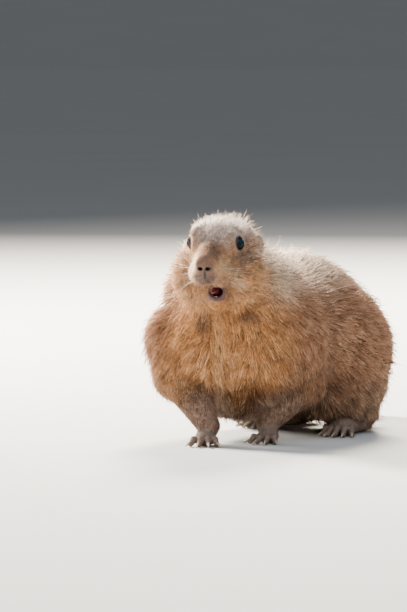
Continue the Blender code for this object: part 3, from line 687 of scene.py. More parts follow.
# Where each lies on the head: centre ahead, left and up, half sizes side, length and height in mm,
# softness and strength
headTints = [
    # The crown's own pale grizzle, made paler as painted sunlight on the top of the head
    ("crown", (-12.0, 0.0, 12.0), (24.0, 26.0, 16.0), 0.35, 0.9),
    ("cheek", (-12.0, 17.0, -24.0), (18.0, 22.0, 17.0), 0.4, 0.9),
    ("cheek", (-12.0, -17.0, -24.0), (18.0, 22.0, 17.0), 0.4, 0.9),
    ("ear", (-27.0, 23.0, -1.0), (6.0, 7.0, 7.0), 0.3, 0.8),
    ("ear", (-27.0, -23.0, -1.0), (6.0, 7.0, 7.0), 0.3, 0.8),
    # The forehead's own tint, made paler as painted sunlight
    ("forehead", (6.0, 0.0, 4.0), (13.0, 10.0, 7.0), 0.5, 0.6),
    ("muzzle", (17.0, 9.5, -15.0), (6.0, 9.0, 8.0), 0.45, 0.7),
    # The pale fur on the animal's right muzzle, made paler and stronger than on its left as painted light on
    # the lit side
    ("pale", (15.0, -9.5, -15.0), (6.5, 12.0, 9.0), 0.45, 0.8),
    ("pale", (4.0, 16.0, -24.0), (6.0, 8.0, 6.0), 0.5, 0.45),
    ("eyePatch", (-3.0, 19.0, -9.0), (7.0, 12.0, 4.8), 0.45, 0.75),
    ("eyePatch", (-3.0, -19.0, -9.0), (7.0, 12.0, 4.4), 0.45, 0.5),
    ("eyePatch", (2.5, 11.0, -1.0), (2.6, 4.0, 5.0), 0.5, 0.5),
    ("nose", (17.0, 0.0, -6.0), (6.6, 13.0, 7.0), 0.35, 0.85),
    ("nose", (28.0, -1.2, -12.6), (6.0, 5.5, 6.5), 0.25, 0.9),
    ("upperLip", (25.0, -0.8, -22.3), (6.4, 6.0, 5.2), 0.3, 0.9),
    ("lipDark", (30.0, -1.2, -18.6), (0.75, 6.0, 4.2), 0.5, 0.7),
    ("chin", (12.0, 5.0, -41.0), (10.0, 10.0, 5.0), 0.4, 0.7),
]
bodyTints = [  # tint, centre in the tables' frame, half sizes, turn, softness, strength
    # The top of the back and a patch behind the head: the back's own paler grizzle, made paler still as
    # painted sunlight on the top
    ("back", (-16.0, 85.0, 118.0), (44.0, 105.0, 34.0), 5.0, 0.5, 0.8),
    ("back", (26.0, 8.0, 112.0), (20.0, 25.0, 20.0), 20.0, 0.5, 0.9),
    # Painted shade: the lower flanks darkened toward the floor
    ("lowFlankShade", (-14.0, 85.0, 12.0), (66.0, 92.0, 28.0), 5.0, 0.5, 0.85),
    ("chest", (-2.0, -14.0, 62.0), (50.0, 34.0, 46.0), 20.0, 0.35, 0.95),
    # Painted shade in the creases between the jaw and the chest
    ("hollowShade", (14.0, -11.0, 84.0), (9.0, 14.0, 5.0), 30.0, 0.5, 0.8),
    ("hollowShade", (-14.0, -22.0, 80.0), (6.0, 14.0, 9.0), 30.0, 0.5, 0.8),
    # Painted highlight on the chest's midline ridge between those creases
    ("crestHighlight", (-4.0, -20.0, 56.0), (2.4, 16.0, 26.0), 22.0, 0.8, 0.4),
    # Painted shade: the low chest between the forelegs darkened
    ("lowChestShade", (-3.0, -6.0, 22.0), (40.0, 32.0, 17.0), 20.0, 0.5, 0.85),
    # Painted shade: the lower haunches darkened toward the floor
    ("haunch", (24.0, 112.0, 16.0), (26.0, 46.0, 30.0), -10.0, 0.5, 0.6),
    ("haunch", (-46.0, 128.0, 16.0), (26.0, 46.0, 30.0), -20.0, 0.5, 0.6),
    ("forearm", (13.0, 28.0, 20.0), (17.0, 24.0, 19.0), 20.0, 0.35, 0.85),
    ("forearm", (-19.0, -13.0, 18.0), (16.0, 18.0, 19.0), 20.0, 0.35, 0.85),
    # Painted shade where the forelegs meet the chest
    ("elbow", (15.0, 22.0, 46.0), (14.0, 16.0, 11.0), 20.0, 0.5, 0.6),
    ("elbow", (-29.0, -15.0, 37.0), (12.0, 14.0, 10.0), 20.0, 0.5, 0.6),
    ("foot", (12.0, 12.0, 3.0), (16.0, 24.0, 9.0), 12.0, 0.3, 0.9),
    ("foot", (-12.0, -26.0, 3.0), (16.0, 24.0, 9.0), 24.0, 0.3, 0.9),
    ("foot", (29.0, 90.0, 2.0), (15.0, 36.0, 11.0), 9.0, 0.3, 0.9),
    ("foot", (-49.0, 122.0, 2.0), (15.0, 36.0, 11.0), -13.0, 0.3, 0.9),
    ("tailTip", (-34.0, 236.0, 14.0), (22.0, 26.0, 22.0), 0.0, 0.35, 0.9),
]


def coatColour(board, at):
    # The markings of skin and coat alike, painted light and shade among them: soft patches of tint over a
    # brown flank, their edges broken up
    wobble = board.vector("SUBTRACT", board.noise(at, 130.0, 2.0, 0.6, output=1), (0.5, 0.5, 0.5))
    where = board.vector("ADD", at, board.vector("SCALE", wobble, 0.008))
    colour = tints["flank"]
    for tint, centre, size, turn, soft, strength in bodyTints:
        mask = board.blot(where, placed(centre), size, turn, soft) * strength
        colour = board.mix(mask, colour, tints[tint])
    for tint, centre, size, soft, strength in headTints:
        mask = board.blot(where, onHead(*centre), size, headTurn, soft) * strength
        colour = board.mix(mask, colour, tints[tint])
    return colour


def coatMaterial():
    # Each hair is dark at its root; the tips of some are pale and a few hairs are nearly black
    board = Board("coat")
    at = board.place()
    tone, along = board.attribute("tone"), board.attribute("along")
    colour = coatColour(board, at)
    mottle = board.noise(at, 260.0, 3.0, 0.6)
    fleck = board.between(board.noise(at, 520.0, 2.0, 0.7), 0.34, 0.66)
    patches = board.between(board.noise(at, 80.0, 3.0, 0.65), 0.36, 0.64)
    shade = (0.46 + along * 0.68) * (0.64 + tone * 0.56) * (0.66 + mottle * 0.68)
    shade = shade * (0.80 + patches * 0.36) * (0.80 + fleck * 0.42)
    black = 1.0 - board.between(tone, 0.10, 0.24)
    shade = shade * (1.0 - black * 0.6)
    tip = board.between(along, 0.45, 1.0) * board.between(tone, 0.55, 0.85) * 0.45
    colour = board.mix(tip, board.vector("SCALE", colour, shade), tints["hairTip"])
    return board.set(color=colour, roughness=0.6, specular=0.16)


def skinMaterial():
    # The coat's markings, darker, with bare lips and lids, and painted shade in the mouth, the nostrils, the
    # ear holes and the cleft under the nose
    board = Board("skin")
    at = board.place()
    fleck = board.noise(at, 1100.0, 3.0, 0.6)
    colour = board.vector("SCALE", coatColour(board, at), 0.38 + fleck * 0.5)
    out, lip = lipShape["radius"] + lipShape["thick"], lipShape["at"]
    lipAt = board.blot(at, onHead(*lip), (out * 0.98, 16.0, out * 0.86), headTurn, 0.08)
    # Painted shade: the inside of the open mouth darkened; the same mask makes it wetter
    mouthAt = board.blot(at, onHead(13.0, *mouthShape["at"][1:]), (4.5, 15.0, 3.8), headTurn, 0.10)
    crease = board.noise(at, 700.0, 3.0, 0.7)
    colour = board.mix(lipAt * 0.92, colour, board.mix(crease, tints["lip"], tints["lipDark"]))
    colour = board.mix(mouthAt, colour, tints["mouth"])
    for sign in (1, -1):
        lid = board.blot(at, eyeCentre(sign) + eyeAxis(sign) * 3.0 * mm, (4.9, 4.9, 5.0), 0.0, 0.06)
        colour = board.mix(lid * 0.92, colour, tints["lid"])
        # Painted shade in the nostrils
        nostrilShade = board.blot(at, onHead(27.0, sign * 2.5 + noseMiddle, -14.7), (2.3, 3.2, 1.8), headTurn, 0.3)
        colour = board.mix(nostrilShade, colour, tints["nostrilShade"])
        holeTurn = headTurn + sign * 38.0
        # Painted shade in the ear's hollow
        earHoleShade = board.blot(at, onHead(-25.5, sign * 23.4, -1.5), (2.4, 2.6, 3.6), holeTurn, 0.35)
        colour = board.mix(earHoleShade * 0.6, colour, tints["earHoleShade"])
    # Painted shade in the cleft under the nose
    cleft = board.blot(at, onHead(28.0, noseMiddle + 0.1, -21.3), (0.8, 4.0, 5.4), headTurn, 0.35)
    colour = board.mix(cleft * 0.95, colour, tints["cleft"])
    bump = board.bump(0.4, 0.0006, board.noise(at, 900.0, 4.0, 0.65))
    rough = 0.6 - mouthAt * 0.3 - lipAt * 0.12
    return board.set(color=colour, roughness=rough, normal=bump, specular=0.3)


def plainMaterial(name, tintA, tintB, roughness, scale, bumpHeight=0.0, **more):
    # Two close tints in fine noise, with a bump of the same grain
    board = Board(name)
    grain = board.noise(board.place(), scale, 4.0, 0.6)
    colour = board.mix(board.between(grain, 0.3, 0.7), tintA, tintB)
    if bumpHeight:
        more["normal"] = board.bump(0.5, bumpHeight, grain)
    return board.set(color=colour, roughness=roughness + (grain - 0.5) * 0.1, **more)


# The iris's two tints; the painted blue sky reflection's two tints, its place from the eye's centre to its
# side, top and outward, and its size, in mm
eyeLook = dict(
    iris=((0.002, 0.003, 0.005), (0.004, 0.006, 0.010)), skyReflection=((0.003, 0.012, 0.024), (0.007, 0.028, 0.052)),
    skyReflectionAt=(0.0, 1.2, 4.9), skyReflectionSize=(2.2, 2.2, 1.7),
)


def eyeMaterial():
    # A nearly black iris with a painted blue sky reflection at its upper middle, under a thin wet coat
    board = Board("eye")
    at = board.place()
    streaks = board.noise(at, 1400.0, 3.0, 0.6)
    colour = board.mix(streaks, *eyeLook["iris"])
    skyReflection = board.mix(streaks, *eyeLook["skyReflection"])
    for sign in (1, -1):
        centre, turn = acrossEye(sign)
        skyReflectionAt = centre + turn @ np.array(eyeLook["skyReflectionAt"]) * mm
        colour = board.mix(board.blot(at, skyReflectionAt, eyeLook["skyReflectionSize"], 0.0, 0.55), colour, skyReflection)
    return board.set(color=colour, roughness=0.3 + streaks * 0.1, specular=0.0, coat=0.13, coatRoughness=0.05)


clawTints = dict(root=(0.085, 0.065, 0.052), tip=(0.42, 0.34, 0.25), streak=(0.16, 0.12, 0.09))


def clawMaterial():
    board = Board("claw")
    at = board.place()
    along = board.attribute("along")
    streaks = board.noise(at, 1800.0, 3.0, 0.6)
    colour = board.mix(board.between(along, 0.1, 0.9), clawTints["root"], clawTints["tip"])
    colour = board.mix(streaks * 0.35, colour, clawTints["streak"])
    return board.set(color=colour, roughness=0.38 + streaks * 0.1, specular=0.5)


# Degrees round and above, metres away, mm to a pixel at the model, and the pixel its origin falls on
viewpoint = dict(
    turn=30.0, rise=3.5, distance=3.2, perPixel=0.66, ground=(239.0, 444.0), frame=(407.0, 612.0),
)


def addCamera():
    a, e = math.radians(viewpoint["turn"]), math.radians(viewpoint["rise"])
    back = np.array([math.sin(a) * math.cos(e), -math.cos(a) * math.cos(e), math.sin(e)])
    right = np.array([math.cos(a), math.sin(a), 0.0])
    up = np.cross(back, right)
    width, height = viewpoint["frame"]
    scale = viewpoint["perPixel"] * mm
    x, y = viewpoint["ground"]
    target = placed((0.0, 0.0, 0.0)) - right * (x - width / 2) * scale + up * (y - height / 2) * scale
    data = bpy.data.cameras.new("photoCamera")
    data.sensor_width = 36.0
    data.lens = data.sensor_width * viewpoint["distance"] / (height * scale)
    data.clip_end = 200.0
    camera = linked("photoCamera", data)
    camera.location = Vector(target + back * viewpoint["distance"])
    camera.rotation_euler = Vector(back).to_track_quat("Z", "Y").to_euler()
    bpy.context.scene.camera = camera
    print("camera: lens", round(data.lens))


lamps = {  # place, watts, size in metres, colour
    "sunLamp": ((-1.7, 0.35, 1.2), 410.0, 0.4, (1.0, 0.93, 0.83)),
    "rimLamp": ((-1.55, 0.3, 0.42), 95.0, 0.45, (1.0, 0.94, 0.86)),
    "backLamp": ((-0.8, 1.75, 1.4), 320.0, 0.7, (1.0, 0.90, 0.77)),
    "skyLamp": ((0.45, -0.75, 1.9), 36.0, 1.6, (0.78, 0.89, 1.0)),
    "frontLamp": ((1.0, -1.9, 0.55), 20.0, 1.3, (1.0, 0.86, 0.70)),
}
lampSet = dict(
    aim=(0.0, -0.02, 0.07), noGloss=("sunLamp", "rimLamp"), sky=(0.86, 0.92, 1.0), skyStrength=0.28,
)


def addLamps():
    for name, (place, power, size, colour) in lamps.items():
        data = bpy.data.lights.new(name, "AREA")
        data.energy, data.size, data.color = power, size, colour
        lamp = linked(name, data)
        lamp.location = place
        lamp.visible_glossy = name not in lampSet["noGloss"]  # those would leave a white streak on the eyes
        away = Vector(place) - Vector(lampSet["aim"])
        lamp.rotation_euler = away.to_track_quat("Z", "Y").to_euler()
    world = bpy.data.worlds.new("studio")
    bpy.context.scene.world = world
    world.use_nodes = True
    sky = world.node_tree.nodes["Background"].inputs
    sky[0].default_value = (*lampSet["sky"], 1.0)
    sky[1].default_value = lampSet["skyStrength"]
    print("lamps:", len(lamps))


# Rings of the floor as radius and height in metres: level out to 20 m, then rising past the horizon
floorSet = dict(
    rings=((0.5, 0.0), (20.0, 0.0), (60.0, 5.0)), sides=64,
    tints=((0.39, 0.385, 0.375), (0.43, 0.425, 0.415)),
)


def addFloor():
    board = Board("paleFloor")
    grain = board.noise(board.place(), 3.0, 3.0, 0.5)
    material = board.set(color=board.mix(grain, *floorSet["tints"]), roughness=0.85)
    n = floorSet["sides"]
    angles = np.linspace(0.0, 2.0 * math.pi, n, endpoint=False)
    x, y = np.cos(angles), np.sin(angles)
    rims = [np.stack([r * x, r * y, np.full(n, z)], 1) for r, z in floorSet["rings"]]
    points = np.concatenate(rims + [[[0.0, 0.0, 0.0]]])
    here, there = np.arange(n), (np.arange(n) + 1) % n
    faces = [(n * len(rims), int(a), int(b)) for a, b in zip(here, there)]
    for m in range(0, n * (len(rims) - 1), n):
        faces += [(int(a) + m, int(a) + m + n, int(b) + m + n, int(b) + m) for a, b in zip(here, there)]
    mesh = bpy.data.meshes.new("floor")
    mesh.from_pydata(points.tolist(), [], faces)
    mesh.materials.append(material)
    linked("floor", mesh)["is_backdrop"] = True
    print("floor:", len(faces), "faces")


# The way the back runs, as a place along the body in mm and degrees from +Y toward the animal's right
spine = np.array([
    (-60.0, 17.5), (-20.0, 18.0), (25.0, 20.0), (60.0, 10.0), (97.0, -5.0), (124.0, -15.0), (175.0, -20.0),
])


def lieOfCoat(points, normals, weights):
    # Unit direction in which the hair lies at each point: away from the nose on the head, back and down the
    # sides of the trunk, down the breast from its midline, down the limbs and along the tail
    y = (points + bodyCentre)[:, 1] / mm
    turn = np.radians(np.interp(y, spine[:, 0], spine[:, 1]))
    back = np.stack([-np.sin(turn), np.cos(turn), 0 * turn], 1)
    down = np.array([0.0, 0.0, -1.0])
    headAxes, chestAxes = axes(headTurn), axes(chestTurn)
    below = smooth(-2.0, -20.0, (points - placed(eyesMidpoint)) @ headAxes[:, 2] / mm)[:, None]
    headFlow = unit(points - onHead(34.0, 0.0, -10.0)) - headAxes[:, 1] * 0.4 + down * 0.25 * below
    side = (points - placed((-4.0, 0.0, 0.0))) @ chestAxes[:, 0]
    front = (smooth(0.05, 0.7, normals @ chestAxes[:, 1]) * smooth(60.0, 30.0, y))[:, None]
    part = np.tanh(side / (3 * mm)) * (smooth(9 * mm, 20 * mm, np.abs(side)) * 0.9 - 0.4)
    chestFlow = down + chestAxes[:, 0] * part[:, None] + back * 0.15
    trunkFlow = (back + down * 0.5) * (1 - front) + chestFlow * front
    flows = dict.fromkeys(coats, trunkFlow)
    flows.update(dict.fromkeys(faceHair + headHair, headFlow))
    flows["ear"] = down * -0.8 - headAxes[:, 1]
    flows["neck"] = trunkFlow * 0.5 + headFlow * 0.8
    flows["arm"] = down + back * 0.35 + trunkFlow * 0.3
    flows["forearm"] = down - back * 0.35
    flows["paw"] = flows["hindPaw"] = down * 0.2 - back
    flows["haunch"] = back * 0.8 + down * 0.75
    flows["tail"] = placed(tailPath[2][0]) - placed(tailPath[0][0])
    flow = sum(weights[key][:, None] * unit(flows[key]) for key in coats)
    return unit(alongSurface(flow, normals))


def roundEyes(points, normals, flow):
    # Hair turned aside in front of each eye; the second result is 0 at the lids and 1 from 11 mm away
    clear = np.ones(len(points))
    for sign in (1, -1):
        off = points - eyeCentre(sign)
        far = lengths(off) / mm
        off = unit(alongSurface(off, normals))
        ahead = np.clip(-np.sum(off * flow, axis=1), 0.0, 1.0) * smooth(12.0, 6.0, far)
        flow = flow + off * (ahead * 1.6)[:, None]
        clear = np.minimum(clear, smooth(5.5, 11.0, far))
    return unit(flow), clear


def hairWeights(points):  # share of each kind of hair, from the distances to the masses that carry it
    distances = np.stack([field(points) for field, _ in masses])
    share = np.exp(-np.clip((distances - distances.min(0)) / (2.0 * mm), 0.0, 40.0))
    total = share.sum(0)
    return {key: sum([share[n] for n, (_, k) in enumerate(masses) if k == key]) / total for key in coats}


def haired(points, normals):  # False in the mouth, on the eyes, the nose pad, the lips and the soles
    keep = (points[:, 2] > 1.2 * mm) & ~((normals[:, 2] < -0.5) & (points[:, 2] < 5.0 * mm))
    for sign in (1, -1):
        q = fromEye(points, sign)
        keep &= (lidLine(q, sign) > 0.7) | (lengths(q) > 8.0) | (q[:, 2] < 0)
    lip = (onHead(*lipShape["at"]), (5.7, 16.0, 4.9))
    nosePad = (onHead(29.0, noseMiddle, -15.3), (5.6, 4.6, 3.4))
    for centre, size in (lip, nosePad):
        keep &= lengths((points - centre) @ axes(headTurn) / np.array(size) / mm) > 1.0
    return keep


def scatter(points, tris, density):  # random roots, as many in each triangle as its area and density ask
    a, b, c = (points[tris[:, n]] for n in range(3))
    area = lengths(np.cross(b - a, c - a)) / 2.0 / mm**2
    expect = area * density[tris].mean(1)
    count = np.floor(expect + rng.random(len(tris))).astype(int)
    pick = np.repeat(np.arange(len(tris)), count)
    u, v = rng.random(len(pick)), rng.random(len(pick))
    flip = u + v > 1.0
    u[flip], v[flip] = 1.0 - u[flip], 1.0 - v[flip]
    return pick, np.stack([1.0 - u - v, u, v], 1)


def gathered(tips, roots, size, share):  # tips drawn toward the mean tip of their clump's cell
    bend = 0.35 * np.sin(roots[:, [1, 2, 0]] / mm * 0.9)
    cell = np.floor(roots / size[:, None] / mm + bend).astype(np.int64)
    key = (cell[:, 0] * 73856093) ^ (cell[:, 1] * 19349663) ^ (cell[:, 2] * 83492791)
    _, index, count = np.unique(key, return_inverse=True, return_counts=True)
    index = index.ravel()
    mean = np.stack([np.bincount(index, tips[:, n]) for n in range(3)], 1) / count[:, None]
    tone = rng.random(len(count))[index]
    return tips + (mean[index] - tips) * share[:, None], tone


tuftSection = [(0.5, 0.0), (-0.5, 0.0), (0.0, 0.45)]  # its three corners, across it and off the skin
bentSides = [
    (0, 1, 4), (0, 4, 3), (1, 2, 5), (1, 5, 4), (2, 0, 3),
    (2, 3, 5), (3, 4, 6), (4, 5, 6), (5, 3, 6), (0, 2, 1),
]
straightSides = [(0, 1, 3), (1, 2, 3), (2, 0, 3), (0, 2, 1)]


def tuftMesh(root, middle, tip, normal, flow, width, bent):
    # Each tuft is a three-sided spike: a ring at the root, one half way up if it is bent, and a point
    across = unit(np.cross(flow, normal))
    points, shading = [], []
    for base, grow in [(root, 0.85), (middle, 1.0)] if bent else [(root, 1.0)]:
        for a, b in tuftSection:
            points.append(base + (across * a + normal * b) * (width * grow)[:, None])
            shading.append(unit(normal * 0.7 + across * a * 1.1 + normal * b))
    points = np.stack(points + [tip], 1)
    shading = np.stack(shading + [unit(normal + flow * 0.25)], 1)
    along = np.tile([0.0] * 3 + [0.5] * 3 * bent + [1.0], len(root))
    sides = np.array(bentSides if bent else straightSides)
    faces = np.arange(len(root))[:, None, None] * points.shape[1] + sides
    return points.reshape(-1, 3), shading.reshape(-1, 3), along, faces.reshape(-1, 3)


def unwrapped(points, region):
    # A place on the unwrap of the skin: round and along the trunk, the head or a limb
    if region == "head":
        q = (points - onHead(-12.0, 0.0, -12.0)) @ axes(headTurn)
        facing, along = q[:, 2], np.arccos(np.clip(unit(q)[:, 1], -1, 1)) / math.pi
    elif region.startswith(("arm", "leg")):
        side = "left" if region.endswith("Left") else "right"
        out = thigh["out"] if side == "left" else -thigh["out"]
        q = points - (placed(arms[side][2]) if region.startswith("arm") else onRump(out, 0.0, 30.0))
        facing, along = -q[:, 1], np.clip(points[:, 2] / 0.11, 0, 1)
    else:
        q = points - placed((-14.0, 80.0, 62.0))
        facing, along = q[:, 2], np.clip((points[:, 1] + 0.16) / 0.33, 0, 1)
    around = np.arctan2(q[:, 0], facing) / (2 * math.pi) + 0.5
    return np.stack([around, along], 1) * 0.99 + 0.005


def bakeMap(mesh, batches, region):
    # Each tuft's faces lie in a patch 0.003 across at its root's place on the unwrap
    kind = "head" if region in ("head", "face", "neck") else region
    corner = np.array([(0.0, 0.0), (0.003, 0.0), (0.0015, 0.003)]) - 0.0015
    loops = []
    for roots, count in batches:
        loops.append((unwrapped(roots, kind)[:, None, None] + corner).repeat(count, 1).reshape(-1, 2))
    layer = mesh.uv_layers.new(name="OFBake")
    layer.data.foreach_set("uv", np.clip(np.concatenate(loops), 0.0, 1.0).astype(np.float32).ravel())


def regionOf(points, weights):  # the coat's piece at each root
    x, y, _ = ((points + bodyCentre) / mm).T
    face = sum(weights[key] for key in faceHair)
    head = face + sum(weights[key] for key in headHair)
    arm = weights["arm"] + weights["forearm"] + weights["paw"] > 0.5
    leg = weights["haunch"] + weights["hindPaw"] > 0.5
    names = np.full(len(points), "trunkMiddle", dtype=object)
    names[y < 35] = "chest"
    names[y > 95] = "rump"
    names[weights["neck"] > 0.5] = "neck"
    names[head > 0.5] = "head"
    names[face > 0.5] = "face"
    names[arm & (x > -4)] = "armLeft"
    names[arm & (x <= -4)] = "armRight"
    names[leg & (x > -15)] = "legLeft"
    names[leg & (x <= -15)] = "legRight"
    names[weights["tail"] > 0.5] = "tail"
    return names


def swung(a, b, angle):  # a direction turned from a toward b
    return a * np.cos(angle)[:, None] + b * np.sin(angle)[:, None]


# Shares of longer guard hairs and of strays, how far the lie wanders in radians, how deep the roots sit
# in mm, and the most triangles in a piece
tuftSet = dict(guards=0.07, strays=0.045, swirl=0.13, wander=0.14, sunk=0.25, mostFaces=190000)
# How much more the guard hairs stand out of each kind of coat
standing = dict(crown=1.0, nape=1.0, brow=0.5, cheek=0.7, neck=0.4, arm=0.4, trunk=0.25, haunch=0.2)


def addCoat(skinPoints, skinTris, skinNormals, thin):
    weights = hairWeights(skinPoints)
    style = {key: sum(weights[k] * coats[k][key] for k in coats) for key in hairTraits}
    pick, shares = scatter(skinPoints, skinTris, style["count"] * thin)
    corner = skinTris[pick]

    def carried(values):  # a value at each root from those at its triangle's corners
        return np.einsum("nk,nk...->n...", shares, values[corner])

    roots, normals = carried(skinPoints), unit(carried(skinNormals))
    keep = haired(roots, normals)
    corner, shares, roots, normals = corner[keep], shares[keep], roots[keep], normals[keep]
    at = {key: carried(values) for key, values in style.items()}
    kinds = {key: carried(values) for key, values in weights.items()}
    flow, clear = roundEyes(roots, normals, lieOfCoat(roots, normals, kinds))
    n = len(roots)
    x, y, z = roots.T
    swirl = np.sin(x * 310 + 1.3) * np.sin(y * 270) + np.sin(z * 350 + y * 160)
    angle = swirl * tuftSet["swirl"] + rng.normal(0.0, tuftSet["wander"], n)
    flow = swung(flow, np.cross(flow, normals), angle)
    guard = rng.random(n) < tuftSet["guards"]
    wild = (rng.random(n) < tuftSet["strays"]) & (clear > 0.9)
    top = np.clip(sum(kinds[key] * share for key, share in standing.items()), 0.0, 1.0) * clear
    length = at["length"] * mm * rng.uniform(0.72, 1.12, n) * np.where(guard, 1.22 + top * 0.6, 1.0)
    length *= 0.35 + 0.65 * clear
    lift = at["lift"] * rng.uniform(0.7, 1.25, n) * np.where(guard, 1.3 + top * 0.8, 1.0)
    lift = np.radians(lift * (0.5 + 0.5 * clear)) + np.where(wild, 0.35, 0.0)
    tipLift = at["tipLift"] * rng.uniform(0.4, 1.6, n) * np.where(guard, 1.5 + top * 1.2, 1.0)
    tipLift = np.radians(tipLift) + np.where(wild, 0.5, 0.0)
    base = roots - normals * tuftSet["sunk"] * mm
    middle = base + swung(flow, normals, lift) * (length * 0.5)[:, None]
    tips = middle + swung(flow, normals, tipLift) * (length * 0.5)[:, None]
    tips, tone = gathered(tips, roots, at["clump"], at["gather"] * np.where(wild, 0.2, 1.0))
    tips[:, 2] = np.maximum(tips[:, 2], 0.5 * mm)
    middle[:, 2] = np.maximum(middle[:, 2], 0.9 * mm)
    spread = 0.6 - 0.2 * top
    tone = np.clip(tone * (1.0 - spread) + rng.random(n) * spread, 0.0, 1.0)
    width = at["width"] * mm * rng.uniform(0.7, 1.25, n) * np.where(wild, 0.6, 1.0)
    bent = (at["length"] > 3.6) & (rng.random(n) < 0.5)
    material = coatMaterial()
    region, total = regionOf(roots, kinds), 0
    for name in sorted(set(region)):
        which = np.flatnonzero(region == name)
        which = which[np.argsort(x[which], kind="stable")]
        parts = 1 + int(np.where(bent[which], 10, 4).sum() // tuftSet["mostFaces"])
        for number, chunk in enumerate(np.array_split(which, parts), 1):
            label = f"coat_{name}" + (f"_{number}" if parts > 1 else "")
            groups = [chunk[bent[chunk]], chunk[~bent[chunk]]]
            made = []
            for group, isBent in zip(groups, (True, False)):
                taken = (v[group] for v in (base, middle, tips, normals, flow, width))
                made.append(tuftMesh(*taken, isBent))
            made[1][3][:] += len(made[0][0])
            points, shading, along, faces = (np.concatenate(arrays) for arrays in zip(*made))
            mesh = newPiece(label, points, faces, material).data
            tones = [np.repeat(tone[group], size) for group, size in zip(groups, (7, 4))]
            setAttribute(mesh, "tone", np.concatenate(tones))
            setAttribute(mesh, "along", along)
            mesh.normals_split_custom_set_from_vertices(shading.astype(np.float32))
            bakeMap(mesh, [(roots[groups[0]], 10), (roots[groups[1]], 4)], name)
            total += len(faces)
    print("coat:", n, "tufts,", total, "triangles")


# The grid that the skin is found on: the ends of each axis in mm, and bands with steps finer than 2 mm
skinSteps = [
    (-110.0, 75.0, [(-34.0, 42.0, 0.62), (-24.0, 30.0, 0.5), (-64.0, -34.0, 1.0)]),
    (-86.0, 262.0, [(-72.0, -28.0, 0.5), (-28.0, 30.0, 0.8), (30.0, 62.0, 1.4), (62.0, 132.0, 1.0)]),
    (-6.0, 168.0, [(-6.0, 14.0, 0.6), (88.0, 120.0, 0.5), (120.0, 156.0, 0.6)]),
]
ownSolids = ("eye_", "tongue", "lower_incisors")  # nodes that have pieces of their own


def addSkin():
    body = withFace(grownBody())
    ticks = [bandedTicks(*steps) - bodyCentre[n] for n, steps in enumerate(skinSteps)]
    points, quads = netted(sampled(body, ticks), ticks)
    points = settled(body, points, 2)
    points[:, 2] = np.maximum(points[:, 2], 0.0)
    print("skin:", len(points), "points,", len(quads), "quads")
    nodes = [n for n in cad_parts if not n.startswith(ownSolids)]
    skin = newPiece("skin", points, quads, skinMaterial(), nodes)
    normals = np.zeros(len(points) * 3, np.float32)
    skin.data.vertices.foreach_get("normal", normals)
    tris = np.concatenate([quads[:, [0, 1, 2]], quads[:, [0, 2, 3]]])
    thinned(skin, lengths(points - onHead(8.0, 0.0, -12.0)) / mm)
    return points, tris, normals.reshape(-1, 3).astype(float)


# Thinning starts at the first distance in mm from the face and is full at the second; the ratio is Decimate's
thinning = dict(keptTo=26.0, thinFrom=44.0, ratio=0.42)


def thinned(piece, fromFace):  # fewer faces under the coat of the body, all of them kept on the face
    group = piece.vertex_groups.new(name="thin")
    share = np.round(smooth(thinning["keptTo"], thinning["thinFrom"], fromFace), 1)
    for value in np.unique(share):
        group.add(np.flatnonzero(share == value).tolist(), float(value), "REPLACE")
    change = piece.modifiers.new("thin", "DECIMATE")
    change.ratio, change.vertex_group = thinning["ratio"], "thin"
    bpy.context.view_layer.update()
    made = bpy.data.meshes.new_from_object(piece.evaluated_get(bpy.context.evaluated_depsgraph_get()))
    piece.modifiers.clear()
    piece.vertex_groups.clear()
    piece.data = made
    made.shade_smooth()
    print("skin thinned to", len(made.polygons), "faces")


def latheGrid(rings, segments):  # faces of a closed grid of rings with a point at each end
    here = np.arange(segments)
    there = (here + 1) % segments
    faces = []
    for r in range(rings - 1):
        a, b = r * segments, (r + 1) * segments
        faces += [(a + int(i), a + int(j), b + int(j), b + int(i)) for i, j in zip(here, there)]
    start, end = rings * segments, rings * segments + 1
    faces += [(start, int(j), int(i)) for i, j in zip(here, there)]
    last = (rings - 1) * segments
    faces += [(end, last + int(i), last + int(j)) for i, j in zip(here, there)]
    return faces


def ballPoints(centre, radii, turn, rings, segments):
    # x = sin(p) cos(t), y = sin(p) sin(t), z = cos(p), times the radii
    polar = np.linspace(0.0, math.pi, rings + 2)[1:-1]
    t = np.linspace(0.0, 2.0 * math.pi, segments, endpoint=False)
    p, t = np.meshgrid(polar, t, indexing="ij")
    unitBall = np.stack([np.sin(p) * np.cos(t), np.sin(p) * np.sin(t), np.cos(p)], -1).reshape(-1, 3)
    unitBall = np.concatenate([unitBall, [[0, 0, 1], [0, 0, -1]]])
    return centre + (unitBall * np.array(radii) * mm) @ turn.T, unitBall


def addEyes():
    material = eyeMaterial()
    for side, sign in (("left", 1), ("right", -1)):
        centre, turn = acrossEye(sign)
        points, _ = ballPoints(centre, (eyeShape["radius"],) * 3, turn, *eyeShape["grid"])
        faces = latheGrid(*eyeShape["grid"])
        newPiece(f"eyeball_{side}", points, faces, material, [f"eye_{side}"])
    print("eyes: two")


